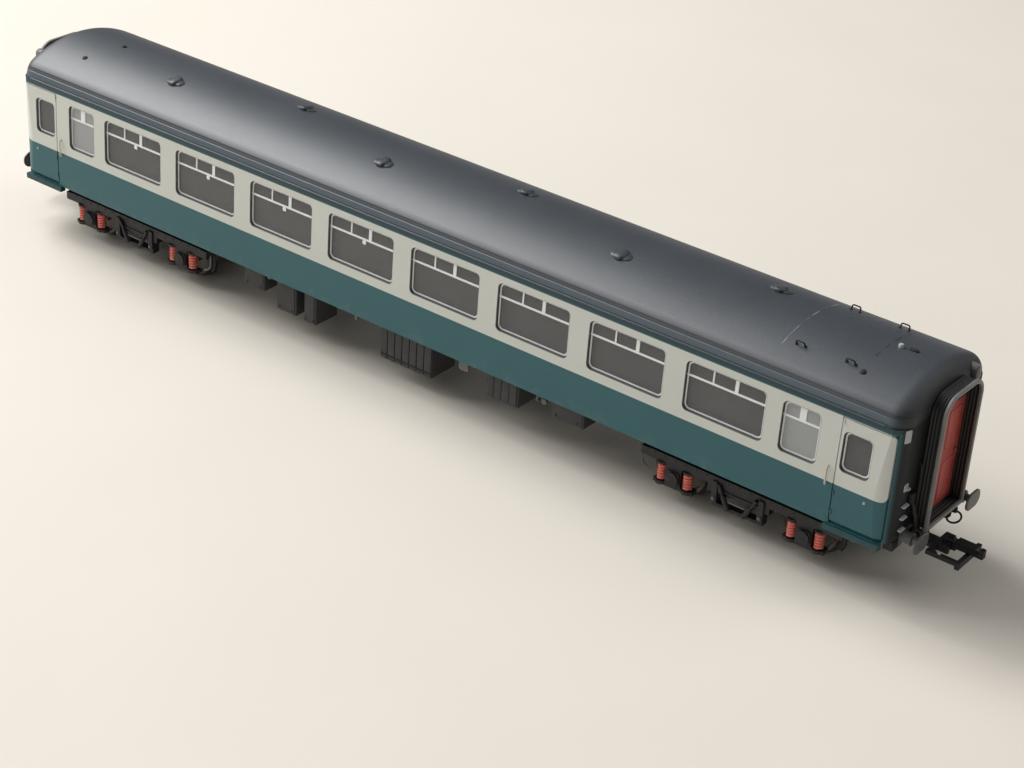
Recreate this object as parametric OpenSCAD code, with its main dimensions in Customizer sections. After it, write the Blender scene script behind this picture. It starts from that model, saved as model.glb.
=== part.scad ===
// Model railway coach, 4 mm scale: an open second-class coach on two
// four-wheel bogies, as an assembly of separate pieces.
// Frame: +X along the coach, +Z up, z = 0 under the wheel flanges.
// "right" pieces are on the -Y side, "left" pieces on the +Y side.
// Bogie, gangway and coupling "a" are at the -X end, "b" at the +X end.

/* [Body] */
// Length of the body over its end walls
body_len = 264; // [260:1:268]
// Width of the body at its widest, just below the waist
body_w = 37; // [36:0.5:38]
// Height of the bottom edge of the sides
skirt_z = 15.3; // [15.2:0.1:15.6]
// Height of the joint between body and roof
eaves_z = 42.6; // [42.2:0.1:43]
// Height of the top of the roof
roof_top_z = 50.5; // [49.8:0.1:51]
// Thickness of the moulded sides, ends and roof
wall = 1.1; // [0.9:0.1:1.3]
// Radius of the rounded body corners
corner_r = 4.5; // [4:0.1:4.6]
// Radius of the curve that the sides follow from skirt to eaves
side_r = 320; // [250:10:600]
// Height at which the sides are widest
belly_z = 26; // [22:0.5:28]
// Radius over which the roof rolls down to the ends
roof_end_r = 3.8; // [3:0.1:4.5]
// Radius of the roof's shoulders
shoulder_r = 4.8; // [4.8:0.1:5.6]

/* [Windows] */
// Number of large windows on a side
window_count = 8; // [6:1:8]
// Distance from one large window to the next
window_pitch = 25.66; // [25:0.02:26]
// Width of a large window
window_w = 20.2; // [18:0.1:21]
// Height of the lower edge of the large windows
window_z = 27.6; // [27:0.1:28.2]
// Height of a large window's opening
window_h = 11.95; // [11:0.05:12.3]
// Width of a toilet window
toilet_window_w = 9.2; // [8:0.1:10]
// Distance of a toilet window's middle from the middle of the coach
toilet_window_x = 108.6; // [108:0.1:109.5]
// Width of a door window
door_window_w = 6.9; // [5:0.1:7]
// Distance of a door window's middle from the middle of the coach
door_window_x = 122.3; // [122:0.1:123]
// Height of the lower edge of the door windows
door_window_z = 28.8; // [28:0.1:29.4]
// Height of a door window's opening
door_window_h = 9.4; // [8:0.1:9.8]
// Radius of the window corners
window_r = 1.3; // [0.8:0.1:1.8]

/* [Doors] */
// Nearer edge of an end door, from the middle of the coach
door_x0 = 118.1; // [117.9:0.1:118.4]
// Farther edge of an end door, on the rounded corner
door_x1 = 130.4; // [129.5:0.1:130.8]
// Width of the moulded door gap
groove_w = 0.3; // [0.2:0.05:0.4]
// Depth of the moulded door gap
groove_d = 0.3; // [0.2:0.05:0.5]

/* [Running gear] */
// Distance of a bogie's pivot from the middle of the coach
bogie_x = 94; // [92:0.5:95]
// Distance between a bogie's two axles
bogie_wheelbase = 34; // [33:0.5:35]
// Radius of a wheel's tread
tread_r = 6; // [5.8:0.1:6.1]
// Height of a wheel's flange over its tread
flange_h = 0.9; // [0.6:0.1:1]
// Distance between the backs of a pair of wheels
back_to_back = 14.5; // [14.2:0.1:14.8]
// Width of a wheel over its flange
wheel_w = 2.8; // [2.4:0.1:3]
// Radius of an axle between its wheels
axle_r = 1; // [0.8:0.1:1.2]
// Radius of an axle's end journals
journal_r = 0.6; // [0.5:0.05:0.7]
// Radial running clearance of the journals and pivots
run_gap = 0.06; // [0.03:0.01:0.1]

/* [Ends] */
// Distance of a buffer from the middle line of the coach
buffer_y = 11.4; // [11:0.1:12]
// Height of the buffers' middle line
buffer_z = 15.2; // [14.6:0.1:15.6]
// Width of the gangway faceplate
gangway_w = 16.4; // [15:0.1:17]
// How far the gangway faceplate stands out from the end wall
gangway_reach = 3.8; // [3:0.1:4]

/* [Hidden] */

// Curves are round enough for the widest radius that uses them
fine = 96;
small = 32;
vast = 720;

half_l = body_len / 2;
half_w = body_w / 2;
body_h = eaves_z - skirt_z;
axle_z = tread_r + flange_h;
// Half the width of the body at the eaves
eaves_y = half_w - side_r + sqrt(side_r * side_r - pow(eaves_z - belly_z, 2));
// The crown arc meets each shoulder arc on the line through both centres
shoulder_y = eaves_y - shoulder_r;
roof_rise = roof_top_z - eaves_z;
crown_r = (pow(shoulder_y, 2) + pow(roof_rise, 2) - pow(shoulder_r, 2))
    / (2 * (roof_rise - shoulder_r));
crown_z = roof_top_z - crown_r;
shoulder_a = atan2(eaves_z - crown_z, shoulder_y);

// Glass lies behind the wall, with panes that fill the openings
glass_inset = 0.8;
frame_inset = 0.66;
glass_t = 0.7;
frame_t = 0.35;

floor_z = 15;
floor_t = 1.1;
ballast_t = 1.3;
seat_floor_z = floor_z + floor_t + ballast_t;
seat_floor_t = 1;
seat_top_z = seat_floor_z + seat_floor_t;

boss_z = 11.6;
bolster_z0 = 9.5;
bolster_z1 = 11.5;
pivot_r = 2;
frame_y0 = 12.3;
frame_y1 = 14.4;
beam_z = 9.7;
seat_z = 5;

plate_t = 0.8;
gangway_door_t = 0.6;
gangway_z0 = 15.9;
gangway_z1 = 47.4;
// Top of the gangway's door, with a dark header above it
gangway_door_z = 42;
bar_x = 142;

ends = [-1, 1];
sides = [-1, 1];

// ---------------------------------------------------------------- helpers

// Carries an outline drawn in Y and Z along X
module along_x(len) {
    rotate([90, 0, 90]) linear_extrude(len, center = true) children();
}

// Carries an outline drawn in X and Z along Y
module along_y(len) {
    rotate([90, 0, 0]) linear_extrude(len, center = true) children();
}

// Box given by its lowest and highest corners
module block(lo, hi) {
    translate(lo) cube(hi - lo);
}

// Cylinder along X, starting at x0
module rod_x(x0, len, r, y, z) {
    translate([x0, y, z]) rotate([0, 90, 0]) cylinder(h = len, r = r, $fn = small);
}

// Cylinder along Y, centred on y
module rod_y(len, r, x, y, z) {
    translate([x, y, z]) rotate([90, 0, 0]) cylinder(h = len, r = r, center = true, $fn = small);
}

// Rectangle with round corners, centred on x and standing on z
module round_rect(w, h, r, x = 0, z = 0) {
    translate([x - w / 2 + r, z]) square([w - 2 * r, h]);
    translate([x - w / 2, z + r]) square([w, h - 2 * r]);
    for (sx = sides, top = [0, 1])
        translate([x + sx * (w / 2 - r), z + r + top * (h - 2 * r)]) circle(r, $fn = small);
}

// Solid body between two heights, at a depth of off inside its outer faces
module body_block(off, z0, z1) {
    intersection() {
        along_x(body_len - 2 * off) intersection() {
            intersection_for(s = sides)
                translate([-s * (side_r - half_w), belly_z]) circle(side_r - off, $fn = vast);
            translate([-half_w, z0]) square([body_w, z1 - z0]);
        }
        translate([0, 0, z0]) linear_extrude(z1 - z0)
            round_rect(body_len - 2 * off, body_w - 2 * off, corner_r - off, 0, off - half_w);
    }
}

// Layer of the body between two depths
module body_layer(off0, off1, z0, z1) {
    difference() {
        body_block(off0, z0, z1);
        body_block(off1, z0 - 1, z1 + 1);
    }
}

// Every window opening on a side, grown by extra
module window_outlines(extra = 0) {
    for (i = [0 : window_count - 1])
        round_rect(window_w + 2 * extra, window_h + 2 * extra, window_r + extra,
            (i - (window_count - 1) / 2) * window_pitch, window_z - extra);
    for (e = ends) {
        round_rect(toilet_window_w + 2 * extra, window_h + 2 * extra, window_r + extra,
            e * toilet_window_x, window_z - extra);
        round_rect(door_window_w + 2 * extra, door_window_h + 2 * extra, window_r + extra,
            e * door_window_x, door_window_z - extra);
    }
}

// Half of the space on one side of the middle line
module half_space(side) {
    translate([-150, side > 0 ? 0 : -30, 0]) cube([300, 30, 60]);
}

// ------------------------------------------------------------------- body

module body_shell() {
    color([0.2, 0.34, 0.38]) difference() {
        body_block(0, skirt_z, eaves_z);
        body_block(wall, skirt_z - 1, eaves_z + 1);
        along_y(60) window_outlines();
        door_grooves();
    }
}

// Moulded gaps round the end doors, and the dark slot over each door step
module door_grooves() {
    intersection() {
        body_layer(-1, groove_d, skirt_z + 1, eaves_z - 1);
        for (e = ends) {
            for (x = [door_x0, door_x1])
                translate([e * x - groove_w / 2, -30, skirt_z + 1]) cube([groove_w, 60, body_h]);
            translate([e > 0 ? door_x0 : -door_x1, -30, eaves_z - 1.7])
                cube([door_x1 - door_x0, 60, groove_w]);
        }
    }
    intersection() {
        body_layer(-1, 0.6, skirt_z, eaves_z);
        for (e = ends)
            translate([e > 0 ? door_x0 : -door_x1, -30, skirt_z + 0.3])
                cube([door_x1 - door_x0, 60, 0.8]);
    }
}

// Points along an arc, from angle a0 to angle a1
function arc_points(cy, cz, r, a0, a1, steps) =
    [for (i = [0 : steps]) let (a = a0 + (a1 - a0) * i / steps) [cy + r * cos(a), cz + r * sin(a)]];

// Arched outline of the roof: a crown arc between two shoulder arcs
module roof_outline(off) {
    polygon(concat(
        arc_points(shoulder_y, eaves_z, shoulder_r - off, 0, shoulder_a, 10),
        arc_points(0, crown_z, crown_r - off, shoulder_a + 1, 179 - shoulder_a, 30),
        arc_points(-shoulder_y, eaves_z, shoulder_r - off, 180 - shoulder_a, 180, 10)
    ));
}

// Solid roof with rolled ends and round corners, shrunk by off
module roof_block(off) {
    intersection() {
        along_x(body_len - 2 * off) roof_outline(off);
        along_y(60) round_rect(body_len - 2 * off, 20, roof_end_r - off, 0, roof_top_z - off - 20);
        translate([0, 0, eaves_z - 1]) linear_extrude(roof_rise + 2)
            round_rect(body_len - 2 * off, 2 * eaves_y - 2 * off, corner_r - off, 0, off - eaves_y);
    }
}

module roof() {
    color([0.42, 0.44, 0.46]) {
        difference() {
            roof_block(0);
            roof_block(wall);
        }
        // Rain gutter along both eaves
        for (s = sides)
            block([corner_r - half_l, s > 0 ? eaves_y - 0.5 : -eaves_y - 0.35, eaves_z],
                [half_l - corner_r, s > 0 ? eaves_y + 0.35 : -eaves_y + 0.5, eaves_z + 0.5]);
    }
}

// Shell ventilators, in two rows that alternate along the roof
vent_pitch = 34.8;
vent_y = 5.5;
module roof_vents() {
    color([0.32, 0.33, 0.35]) difference() {
        for (i = [0 : 5])
            translate([(i - 2.5) * vent_pitch, (i % 2 == 0 ? -1 : 1) * vent_y, roof_top_z - 1.2])
                intersection() {
                    rod_x(-2.6, 5.2, 1.9, 0, 0.4);
                    rod_y(4, 2.8, 0, 0, -0.6);
                    translate([-3, -2, -1]) cube([6, 4, 4]);
                }
        roof_block(0);
    }
}

// Height of the roof's crown at a distance y from the middle line
function roof_z(y) = crown_z + sqrt(crown_r * crown_r - y * y);

// Fillers and pots, and wire hand loops, near the ends of the roof
filler_spots = [[-116.3, -9.3], [-112.6, 1], [117.4, -11.3], [119.4, 0.4], [122.4, 0.9]];
loop_spots = [[102.6, 10.8], [114.6, 10.8], [102.2, -10.8], [114, -10.4]];
module roof_fittings() {
    color([0.2, 0.2, 0.22]) difference() {
        union() {
            for (p = filler_spots)
                translate([p[0], p[1], roof_z(p[1]) - 0.5]) cylinder(h = 0.9, r = 0.65, $fn = small);
            for (p = loop_spots)
                translate([p[0], p[1], roof_z(p[1])]) rotate([90, 0, 0]) difference() {
                    cylinder(h = 0.4, r = 1.3, center = true, $fn = small);
                    cylinder(h = 1, r = 0.9, center = true, $fn = small);
                }
        }
        roof_block(0);
    }
}

module glazing(side) {
    color([0.35, 0.34, 0.33, 0.5]) intersection() {
        half_space(side);
        union() {
            intersection() {
                body_layer(wall, wall + glass_t, window_z - 1.1, window_z + window_h + 1.1);
                block([-127, -30, 20], [127, 30, 50]);
            }
            intersection() {
                body_layer(glass_inset, wall, window_z - 1, window_z + window_h + 1);
                along_y(60) window_outlines();
            }
        }
    }
}

module glazing_left() { glazing(1); }
module glazing_right() { glazing(-1); }

// White frame just inside an opening, with the bars of its top lights
bar_z = 0.7;
bar_t = 0.5;
module frame_outline(x, z, w, h, bars) {
    gap = 0.15;
    inner = gap + frame_t;
    difference() {
        round_rect(w - 2 * gap, h - 2 * gap, window_r, x, z + gap);
        round_rect(w - 2 * inner, h - 2 * inner, window_r - frame_t / 2, x, z + inner);
    }
    if (len(bars) > 0) {
        translate([x - w / 2, z + h * bar_z - bar_t / 2]) square([w, bar_t]);
        for (b = bars)
            translate([x + b[0] * w - b[1] / 2, z + h * bar_z]) square([b[1], h * (1 - bar_z) - 0.2]);
    }
}

module window_frames(side) {
    color([0.86, 0.86, 0.83]) intersection() {
        half_space(side);
        body_layer(frame_inset, glass_inset, 20, 42);
        along_y(60) {
            for (i = [0 : window_count - 1])
                frame_outline((i - (window_count - 1) / 2) * window_pitch, window_z, window_w,
                    window_h, [[side * 0.17, 0.4], [side * -0.12, 0.9]]);
            for (e = ends) {
                frame_outline(e * toilet_window_x, window_z, toilet_window_w, window_h, [[0, 1.6]]);
                frame_outline(e * door_window_x, door_window_z, door_window_w, door_window_h, []);
            }
        }
    }
}

module window_frames_left() { window_frames(1); }
module window_frames_right() { window_frames(-1); }

// Grab handle beside each end door
handle_x = 116.4;
handle_z0 = 24.4;
handle_z1 = 29;
module door_handrails() {
    color([0.8, 0.78, 0.66]) for (e = ends, s = sides) {
        translate([e * handle_x, s * (half_w + 0.65), handle_z0])
            cylinder(h = handle_z1 - handle_z0, r = 0.22, $fn = small);
        for (z = [handle_z0 + 0.3, handle_z1 - 0.3])
            rod_y(0.75, 0.18, e * handle_x, s * (half_w + 0.375), z);
    }
}

// Footboard below each end door, hung under the skirt
module door_steps() {
    color([0.2, 0.34, 0.38]) for (e = ends, s = sides)
        translate([e * (door_x0 + door_x1 - 1) / 2, s * (half_w - 0.4), skirt_z - 0.7])
            cube([door_x1 - door_x0 + 1, 1.6, 1.38], center = true);
}

// -------------------------------------------------------------- underframe

module underframe() {
    color([0.1, 0.1, 0.11]) {
        difference() {
            union() {
                body_block(wall, floor_z, floor_z + floor_t);
                // Centre sill between the bogies
                block([-66, -4, 11.5], [66, 4, floor_z]);
                for (e = ends) {
                    // Pivot boss over each bogie
                    translate([e * bogie_x, 0, boss_z])
                        cylinder(h = floor_z - boss_z, r = 4.2, $fn = fine);
                    // Headstock under the end wall
                    block([e > 0 ? half_l - 2.2 : -half_l, -15.2, 12.9],
                        [e > 0 ? half_l : 2.2 - half_l, 15.2, floor_z]);
                }
            }
            // Screw holes for the bogie pivots
            for (e = ends)
                translate([e * bogie_x, 0, boss_z - 1]) cylinder(h = 4, r = 1.2, $fn = small);
        }
    }
}

module ballast_weight() {
    color([0.5, 0.5, 0.52]) block([-100, -9, floor_z + floor_t], [100, 9, seat_floor_z]);
}

// Floor, back-to-back seats and tables of the saloon in one moulding
seat_w = 12.6;
aisle_y = 2.8;
seat_h = 5.6;
seat_back_h = 13.4;
table_h = 9.2;
module seating_unit() {
    color([0.36, 0.3, 0.24]) {
        block([-128, -16.2, seat_floor_z], [128, 16.2, seat_top_z]);
        for (s = sides) translate([0, s > 0 ? aisle_y : -aisle_y - seat_w, seat_top_z]) {
            for (i = [0 : window_count]) {
                x = (i - window_count / 2) * window_pitch;
                // Seat backs stand between the windows, cushions on both sides of them
                translate([x - 1.2, 0, 0]) cube([2.4, seat_w, seat_back_h]);
                if (i < window_count) translate([x + 1.2, 0, 0]) cube([5.4, seat_w, seat_h]);
                if (i > 0) translate([x - 6.6, 0, 0]) cube([5.4, seat_w, seat_h]);
            }
            for (i = [0 : window_count - 1]) {
                x = (i - (window_count - 1) / 2) * window_pitch;
                translate([x - 2.6, 0.6, table_h]) cube([5.2, seat_w - 0.6, 0.7]);
                translate([x - 0.4, seat_w - 3, 0]) cube([0.8, 2.4, table_h]);
            }
        }
    }
}

// Cross walls at the saloon's ends and the toilet walls beyond them
saloon_x = 104.6;
vestibule_x = 114.8;
partition_z = 44.2;
module partitions() {
    z0 = seat_top_z;
    color([0.75, 0.73, 0.68]) for (e = ends) {
        difference() {
            block([e * saloon_x - 0.4, -15.9, z0], [e * saloon_x + 0.4, 15.9, partition_z]);
            block([e * saloon_x - 1, -2.6, z0 - 1], [e * saloon_x + 1, 2.6, 42]);
        }
        for (s = sides)
            block([e > 0 ? saloon_x + 0.4 : 0.4 - vestibule_x, s * 3 - 0.4, z0],
                [e > 0 ? vestibule_x - 0.4 : -saloon_x - 0.4, s * 3 + 0.4, partition_z]);
        difference() {
            block([e * vestibule_x - 0.4, -15.9, z0], [e * vestibule_x + 0.4, 15.9, partition_z]);
            block([e * vestibule_x - 1, -2.6, z0 - 1], [e * vestibule_x + 1, 2.6, 42]);
        }
    }
}

// Battery box in the middle of each side, with upright ribs on its door
module battery_boxes() {
    color([0.13, 0.13, 0.14]) for (s = sides) {
        block([-8.4, s > 0 ? 6 : -15, 4.8], [7.6, s > 0 ? 15 : -6, floor_z]);
        for (i = [0 : 6])
            block([-8.1 + i * 2.4, s > 0 ? 15 : -15.5, 5.1], [-7.1 + i * 2.4, s > 0 ? 15.5 : -15, 14.6]);
    }
}

// Boxes, regulators and hangers that hang from the floor: x, x, depth
right_boxes = [[-54, -47, 8.4], [-42.8, -36.2, 5.4], [-33.6, -29.6, 5.2], [24.2, 33.6, 7.2], [43, 52.4, 9.2]];
left_boxes = [[-52.4, -43, 9.2], [-33.6, -24.2, 7.2], [28.6, 35.2, 5.4], [40.8, 49.8, 6.4]];
module equipment_boxes() {
    color([0.13, 0.13, 0.14]) {
        for (b = right_boxes) block([b[0], -15, b[2]], [b[1], -7, floor_z]);
        for (b = left_boxes) block([b[0], 7, b[2]], [b[1], 15, floor_z]);
        // Ribs on the ribbed box
        for (i = [0 : 3]) block([24.8 + i * 2.4, -15.4, 7.6], [25.6 + i * 2.4, -15, 14.4]);
    }
}

// Vacuum cylinders, their crossbars and the dynamo between the boxes
module brake_gear() {
    color([0.12, 0.12, 0.13]) {
        for (x = [-61, 60]) {
            translate([x, 8, 7.4]) cylinder(h = floor_z - 7.4, r = 2.9, $fn = fine);
            translate([x, 8, 6.6]) cylinder(h = 0.8, r = 1.2, $fn = small);
        }
        for (x = [-20, 18]) rod_y(22, 0.5, x, 0, 10.4);
        for (x = [-20, 18], s = sides) block([x - 0.6, s * 9 - 0.5, 10], [x + 0.6, s * 9 + 0.5, floor_z]);
    }
}

// -------------------------------------------------------------------- ends

// Outline of the gangway: straight sides and a rounded top
module gangway_outline(inset) {
    w = gangway_w - 2 * inset;
    r = 4.4 - inset;
    z1 = gangway_z1 - inset;
    z0 = gangway_z0 + (inset > 0 ? inset : 0);
    translate([-w / 2, z0]) square([w, z1 - r - z0]);
    translate([-w / 2 + r, z0]) square([w - 2 * r, z1 - z0]);
    for (s = sides) translate([s * (w / 2 - r), z1 - r]) circle(r, $fn = fine);
}

// Bellows between the end wall and the faceplate, and the header over the door
module gangway(e) {
    color([0.09, 0.09, 0.1]) {
        translate([e * (half_l + (gangway_reach - plate_t) / 2), 0, 0]) difference() {
            along_x(gangway_reach - plate_t) gangway_outline(0.25);
            along_x(10) gangway_outline(0.8);
        }
        translate([e * (half_l + gangway_door_t / 2), 0, 0]) along_x(gangway_door_t) difference() {
            gangway_outline(0.7);
            translate([-gangway_w / 2, 0]) square([gangway_w, gangway_door_z]);
        }
    }
}

module gangway_plate(e) {
    color([0.45, 0.45, 0.45]) translate([e * (half_l + gangway_reach - plate_t / 2), 0, 0])
        difference() {
            along_x(plate_t) gangway_outline(0);
            along_x(10) gangway_outline(0.9);
        }
}

module gangway_door(e) {
    color([0.62, 0.22, 0.18]) {
        translate([e * (half_l + gangway_door_t / 2), 0, 0]) along_x(gangway_door_t) intersection() {
            gangway_outline(0.9);
            translate([-gangway_w / 2, 0]) square([gangway_w, gangway_door_z]);
        }
        // Handle and the upper and lower panels
        mirror([e < 0 ? 1 : 0, 0, 0]) {
            rod_x(half_l + gangway_door_t, 0.5, 0.4, 5.8, 29);
            for (z = [18.5, 31])
                block([half_l + gangway_door_t, -5, z], [half_l + gangway_door_t + 0.2, 5, z + 9]);
        }
    }
}

module gangway_a() { gangway(-1); }
module gangway_b() { gangway(1); }
module gangway_plate_a() { gangway_plate(-1); }
module gangway_plate_b() { gangway_plate(1); }
module gangway_door_a() { gangway_door(-1); }
module gangway_door_b() { gangway_door(1); }

// Two buffers with oval heads, on the headstock
module buffers(e) {
    color([0.4, 0.4, 0.4]) for (s = sides) {
        rod_x(e > 0 ? half_l : -half_l - 2.6, 2.6, 1.45, s * buffer_y, buffer_z);
        rod_x(e > 0 ? half_l + 2.6 : -half_l - 4, 1.4, 0.9, s * buffer_y, buffer_z);
        translate([e * (half_l + 4.4), s * buffer_y, 0]) along_x(0.8)
            round_rect(6.2, 4.2, 2, 0, buffer_z - 2.1);
    }
}

module buffers_a() { buffers(-1); }
module buffers_b() { buffers(1); }

// Steps, lamp bracket, grab rails and a blank plate on the end wall
module end_fittings(e) {
    x0 = half_l;
    color([0.75, 0.76, 0.76]) mirror([e < 0 ? 1 : 0, 0, 0]) {
        for (z = [17.6, 20.5, 23.4]) block([x0, -14.4, z], [x0 + 0.9, -12.2, z + 0.35]);
        block([x0, -14.4, 27.1], [x0 + 0.7, -12.8, 28.9]);
        // Blank plate on the rounded corner
        translate([half_l - corner_r, corner_r - half_w, 39.4]) rotate([0, 0, -22])
            translate([corner_r, -0.8, 0]) cube([0.2, 1.6, 3]);
        for (y = [-9.2, 9.2]) {
            translate([x0 + 0.9, y, 20]) cylinder(h = 12, r = 0.22, $fn = small);
            for (z = [20.3, 31.7]) rod_x(x0, 1, 0.2, y, z);
        }
        // Tall round-ended cover of the gangway's support
        difference() {
            for (z = [44.8, 46.3]) rod_x(x0 - 1.4, 2.6, 1.2, 10.4, z);
            roof_block(0);
        }
    }
}

module end_fittings_a() { end_fittings(-1); }
module end_fittings_b() { end_fittings(1); }

// Brake and heating pipes and the draw hook under the end wall
module end_pipes(e) {
    color([0.1, 0.1, 0.1]) mirror([e < 0 ? 1 : 0, 0, 0]) {
        for (y = [-6, 6]) {
            rod_x(half_l, 1.6, 0.5, y, 14);
            translate([half_l + 1.6, y, 13.2]) cylinder(h = 2.8, r = 0.45, $fn = small);
        }
        block([half_l, -0.4, 13.6], [half_l + 2.2, 0.4, 14.6]);
        translate([half_l + 2.2, 0.4, 14.1]) rotate([90, 0, 0]) cylinder(h = 0.8, r = 0.9, $fn = small);
    }
}

module end_pipes_a() { end_pipes(-1); }
module end_pipes_b() { end_pipes(1); }

// ------------------------------------------------------------------ bogies

// Side view of a bogie frame's side: beam, horn plates and spring seats
module bogie_side() {
    half = bogie_wheelbase / 2;
    translate([-24, beam_z]) square([48, 2.2]);
    // Deeper web in the middle, and the spring plank under it
    translate([-8, 8]) square([16, beam_z - 8 + 0.1]);
    for (e = ends) {
        translate([e * 6 - 0.6, 4.6]) square([1.2, 4]);
        // Horn plate and spring seats round each axlebox
        translate([e * half - 2, 5]) square([4, beam_z - 4.9]);
        translate([e * half - 5.2, seat_z - 0.9]) square([10.4, 0.9]);
    }
    translate([-6.6, 4.6]) square([13.2, 0.8]);
}

module bogie_frame(e) {
    half = bogie_wheelbase / 2;
    color([0.11, 0.11, 0.12]) translate([e * bogie_x, 0, 0]) difference() {
        union() {
            for (s = sides) {
                translate([0, s * (frame_y0 + frame_y1) / 2, 0]) along_y(frame_y1 - frame_y0) bogie_side();
                // Axleboxes
                for (x = ends) rod_y(1, 1.7, x * half, s * (frame_y1 + 0.5), axle_z);
            }
            // Bolster, transoms and end beams
            block([-4.4, -frame_y0, bolster_z0], [4.4, frame_y0, bolster_z1]);
            for (x = ends) {
                block([x * 7.2 - 0.8, -frame_y0, 8.6], [x * 7.2 + 0.8, frame_y0, bolster_z1]);
                block([min(x * 4, x * 6.8), -8, 10], [max(x * 4, x * 6.8), 8, bolster_z1]);
                block([x * 25 - 1, -frame_y1, beam_z], [x * 25 + 1, frame_y1, 11.8]);
            }
        }
        translate([0, 0, 5]) cylinder(h = 10, r = pivot_r, $fn = fine);
        // Bearings for the axle journals
        for (s = sides, x = ends) rod_y(3, journal_r + run_gap, x * half, s * 12.3, axle_z);
    }
}

// Four pairs of coil springs, one spring on each side of each axlebox
spring_r = 1.15;
spring_x = 3.45;
module bogie_springs(e) {
    color([0.8, 0.36, 0.3]) for (s = sides, x = ends, d = ends)
        translate([e * bogie_x + x * bogie_wheelbase / 2 + d * spring_x, s * 13.6, seat_z])
            cylinder(h = beam_z - seat_z, r = spring_r, $fn = small);
}

// Screw that holds the bogie under the boss
module bogie_pivot(e) {
    color([0.6, 0.6, 0.62]) translate([e * bogie_x, 0, 0]) {
        translate([0, 0, bolster_z0 - 0.9]) cylinder(h = 0.8, r = 3.2, $fn = fine);
        translate([0, 0, bolster_z0 - 0.9]) cylinder(h = boss_z - bolster_z0 + 0.9, r = pivot_r - run_gap, $fn = fine);
        translate([0, 0, boss_z]) cylinder(h = 2.6, r = 1.2, $fn = small);
    }
}

// Coupling arm from the bogie's end, with its loop and bumper bar
arm_z = 8.6;
module bogie_coupling(e) {
    color([0.08, 0.08, 0.08]) mirror([e < 0 ? 1 : 0, 0, 0]) difference() {
        union() {
            block([bogie_x + 26, -1.8, arm_z], [136, 1.8, arm_z + 1]);
            block([bogie_x + 24.2, -1.8, arm_z + 1], [bogie_x + 26.8, 1.8, beam_z]);
            // Bumper bar and the two side arms of its loop
            block([bar_x, -5.2, arm_z - 0.4], [bar_x + 1, 5.2, arm_z + 1.2]);
            for (s = sides) block([134.8, s * 4.2 - 0.5, arm_z], [bar_x, s * 4.2 + 0.5, arm_z + 1]);
            block([134.8, -4.7, arm_z], [136, 4.7, arm_z + 1]);
            for (s = sides) block([136, s * 1.4 - 0.4, arm_z], [138.6, s * 1.4 + 0.4, arm_z + 1.6]);
        }
        rod_y(10, 0.5, 137.6, 0, arm_z + 0.9);
    }
}

// Hook that rests on the bumper bar and lifts over the next coach's bar
module coupling_hook(e) {
    color([0.08, 0.08, 0.08]) mirror([e < 0 ? 1 : 0, 0, 0]) {
        block([136.8, -0.7, arm_z + 0.4], [138.4, 0.7, arm_z + 1.4]);
        block([138.4, -0.7, arm_z + 0.8], [139.6, 0.7, arm_z + 1.4]);
        block([138.8, -0.7, arm_z + 1.4], [146, 0.7, arm_z + 2.2]);
        block([145, -0.7, arm_z + 2.2], [146, 0.7, arm_z + 3.4]);
        rod_y(3.4, 0.44, 137.6, 0, arm_z + 0.9);
    }
}

// ------------------------------------------------------------------- wheels

// Half section of a wheel: radius outwards, distance from the back upwards
module wheel_section() {
    polygon([
        [axle_r, 0.3], [2.2, 0.3], [2.4, 0.9], [tread_r - 1.1, 0.9], [tread_r - 0.8, 0],
        [tread_r + flange_h - 0.25, 0], [tread_r + flange_h, 0.25], [tread_r + flange_h - 0.1, 0.6],
        [tread_r + 0.12, 0.85], [tread_r - 0.05, wheel_w - 0.15], [tread_r - 0.2, wheel_w],
        [tread_r - 0.9, wheel_w], [tread_r - 1.1, 1.7], [2.4, 1.7], [2, 2.5], [axle_r, 2.5]
    ]);
}

module wheels(x) {
    color([0.16, 0.15, 0.15]) for (s = sides)
        translate([x, s * back_to_back / 2, axle_z]) rotate([s > 0 ? -90 : 90, 0, 0])
            rotate_extrude($fn = fine) wheel_section();
}

module axle(x) {
    color([0.62, 0.62, 0.64]) {
        rod_y(23.6, axle_r, x, 0, axle_z);
        rod_y(27, journal_r, x, 0, axle_z);
    }
}

wheel_out = bogie_x + bogie_wheelbase / 2;
wheel_in = bogie_x - bogie_wheelbase / 2;

module bogie_a_frame() { bogie_frame(-1); }
module bogie_b_frame() { bogie_frame(1); }
module bogie_a_springs() { bogie_springs(-1); }
module bogie_b_springs() { bogie_springs(1); }
module bogie_a_pivot() { bogie_pivot(-1); }
module bogie_b_pivot() { bogie_pivot(1); }
module bogie_a_coupling() { bogie_coupling(-1); }
module bogie_b_coupling() { bogie_coupling(1); }
module coupling_hook_a() { coupling_hook(-1); }
module coupling_hook_b() { coupling_hook(1); }
module wheels_a1() { wheels(-wheel_out); }
module wheels_a2() { wheels(-wheel_in); }
module wheels_b1() { wheels(wheel_in); }
module wheels_b2() { wheels(wheel_out); }
module axle_a1() { axle(-wheel_out); }
module axle_a2() { axle(-wheel_in); }
module axle_b1() { axle(wheel_in); }
module axle_b2() { axle(wheel_out); }

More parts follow.
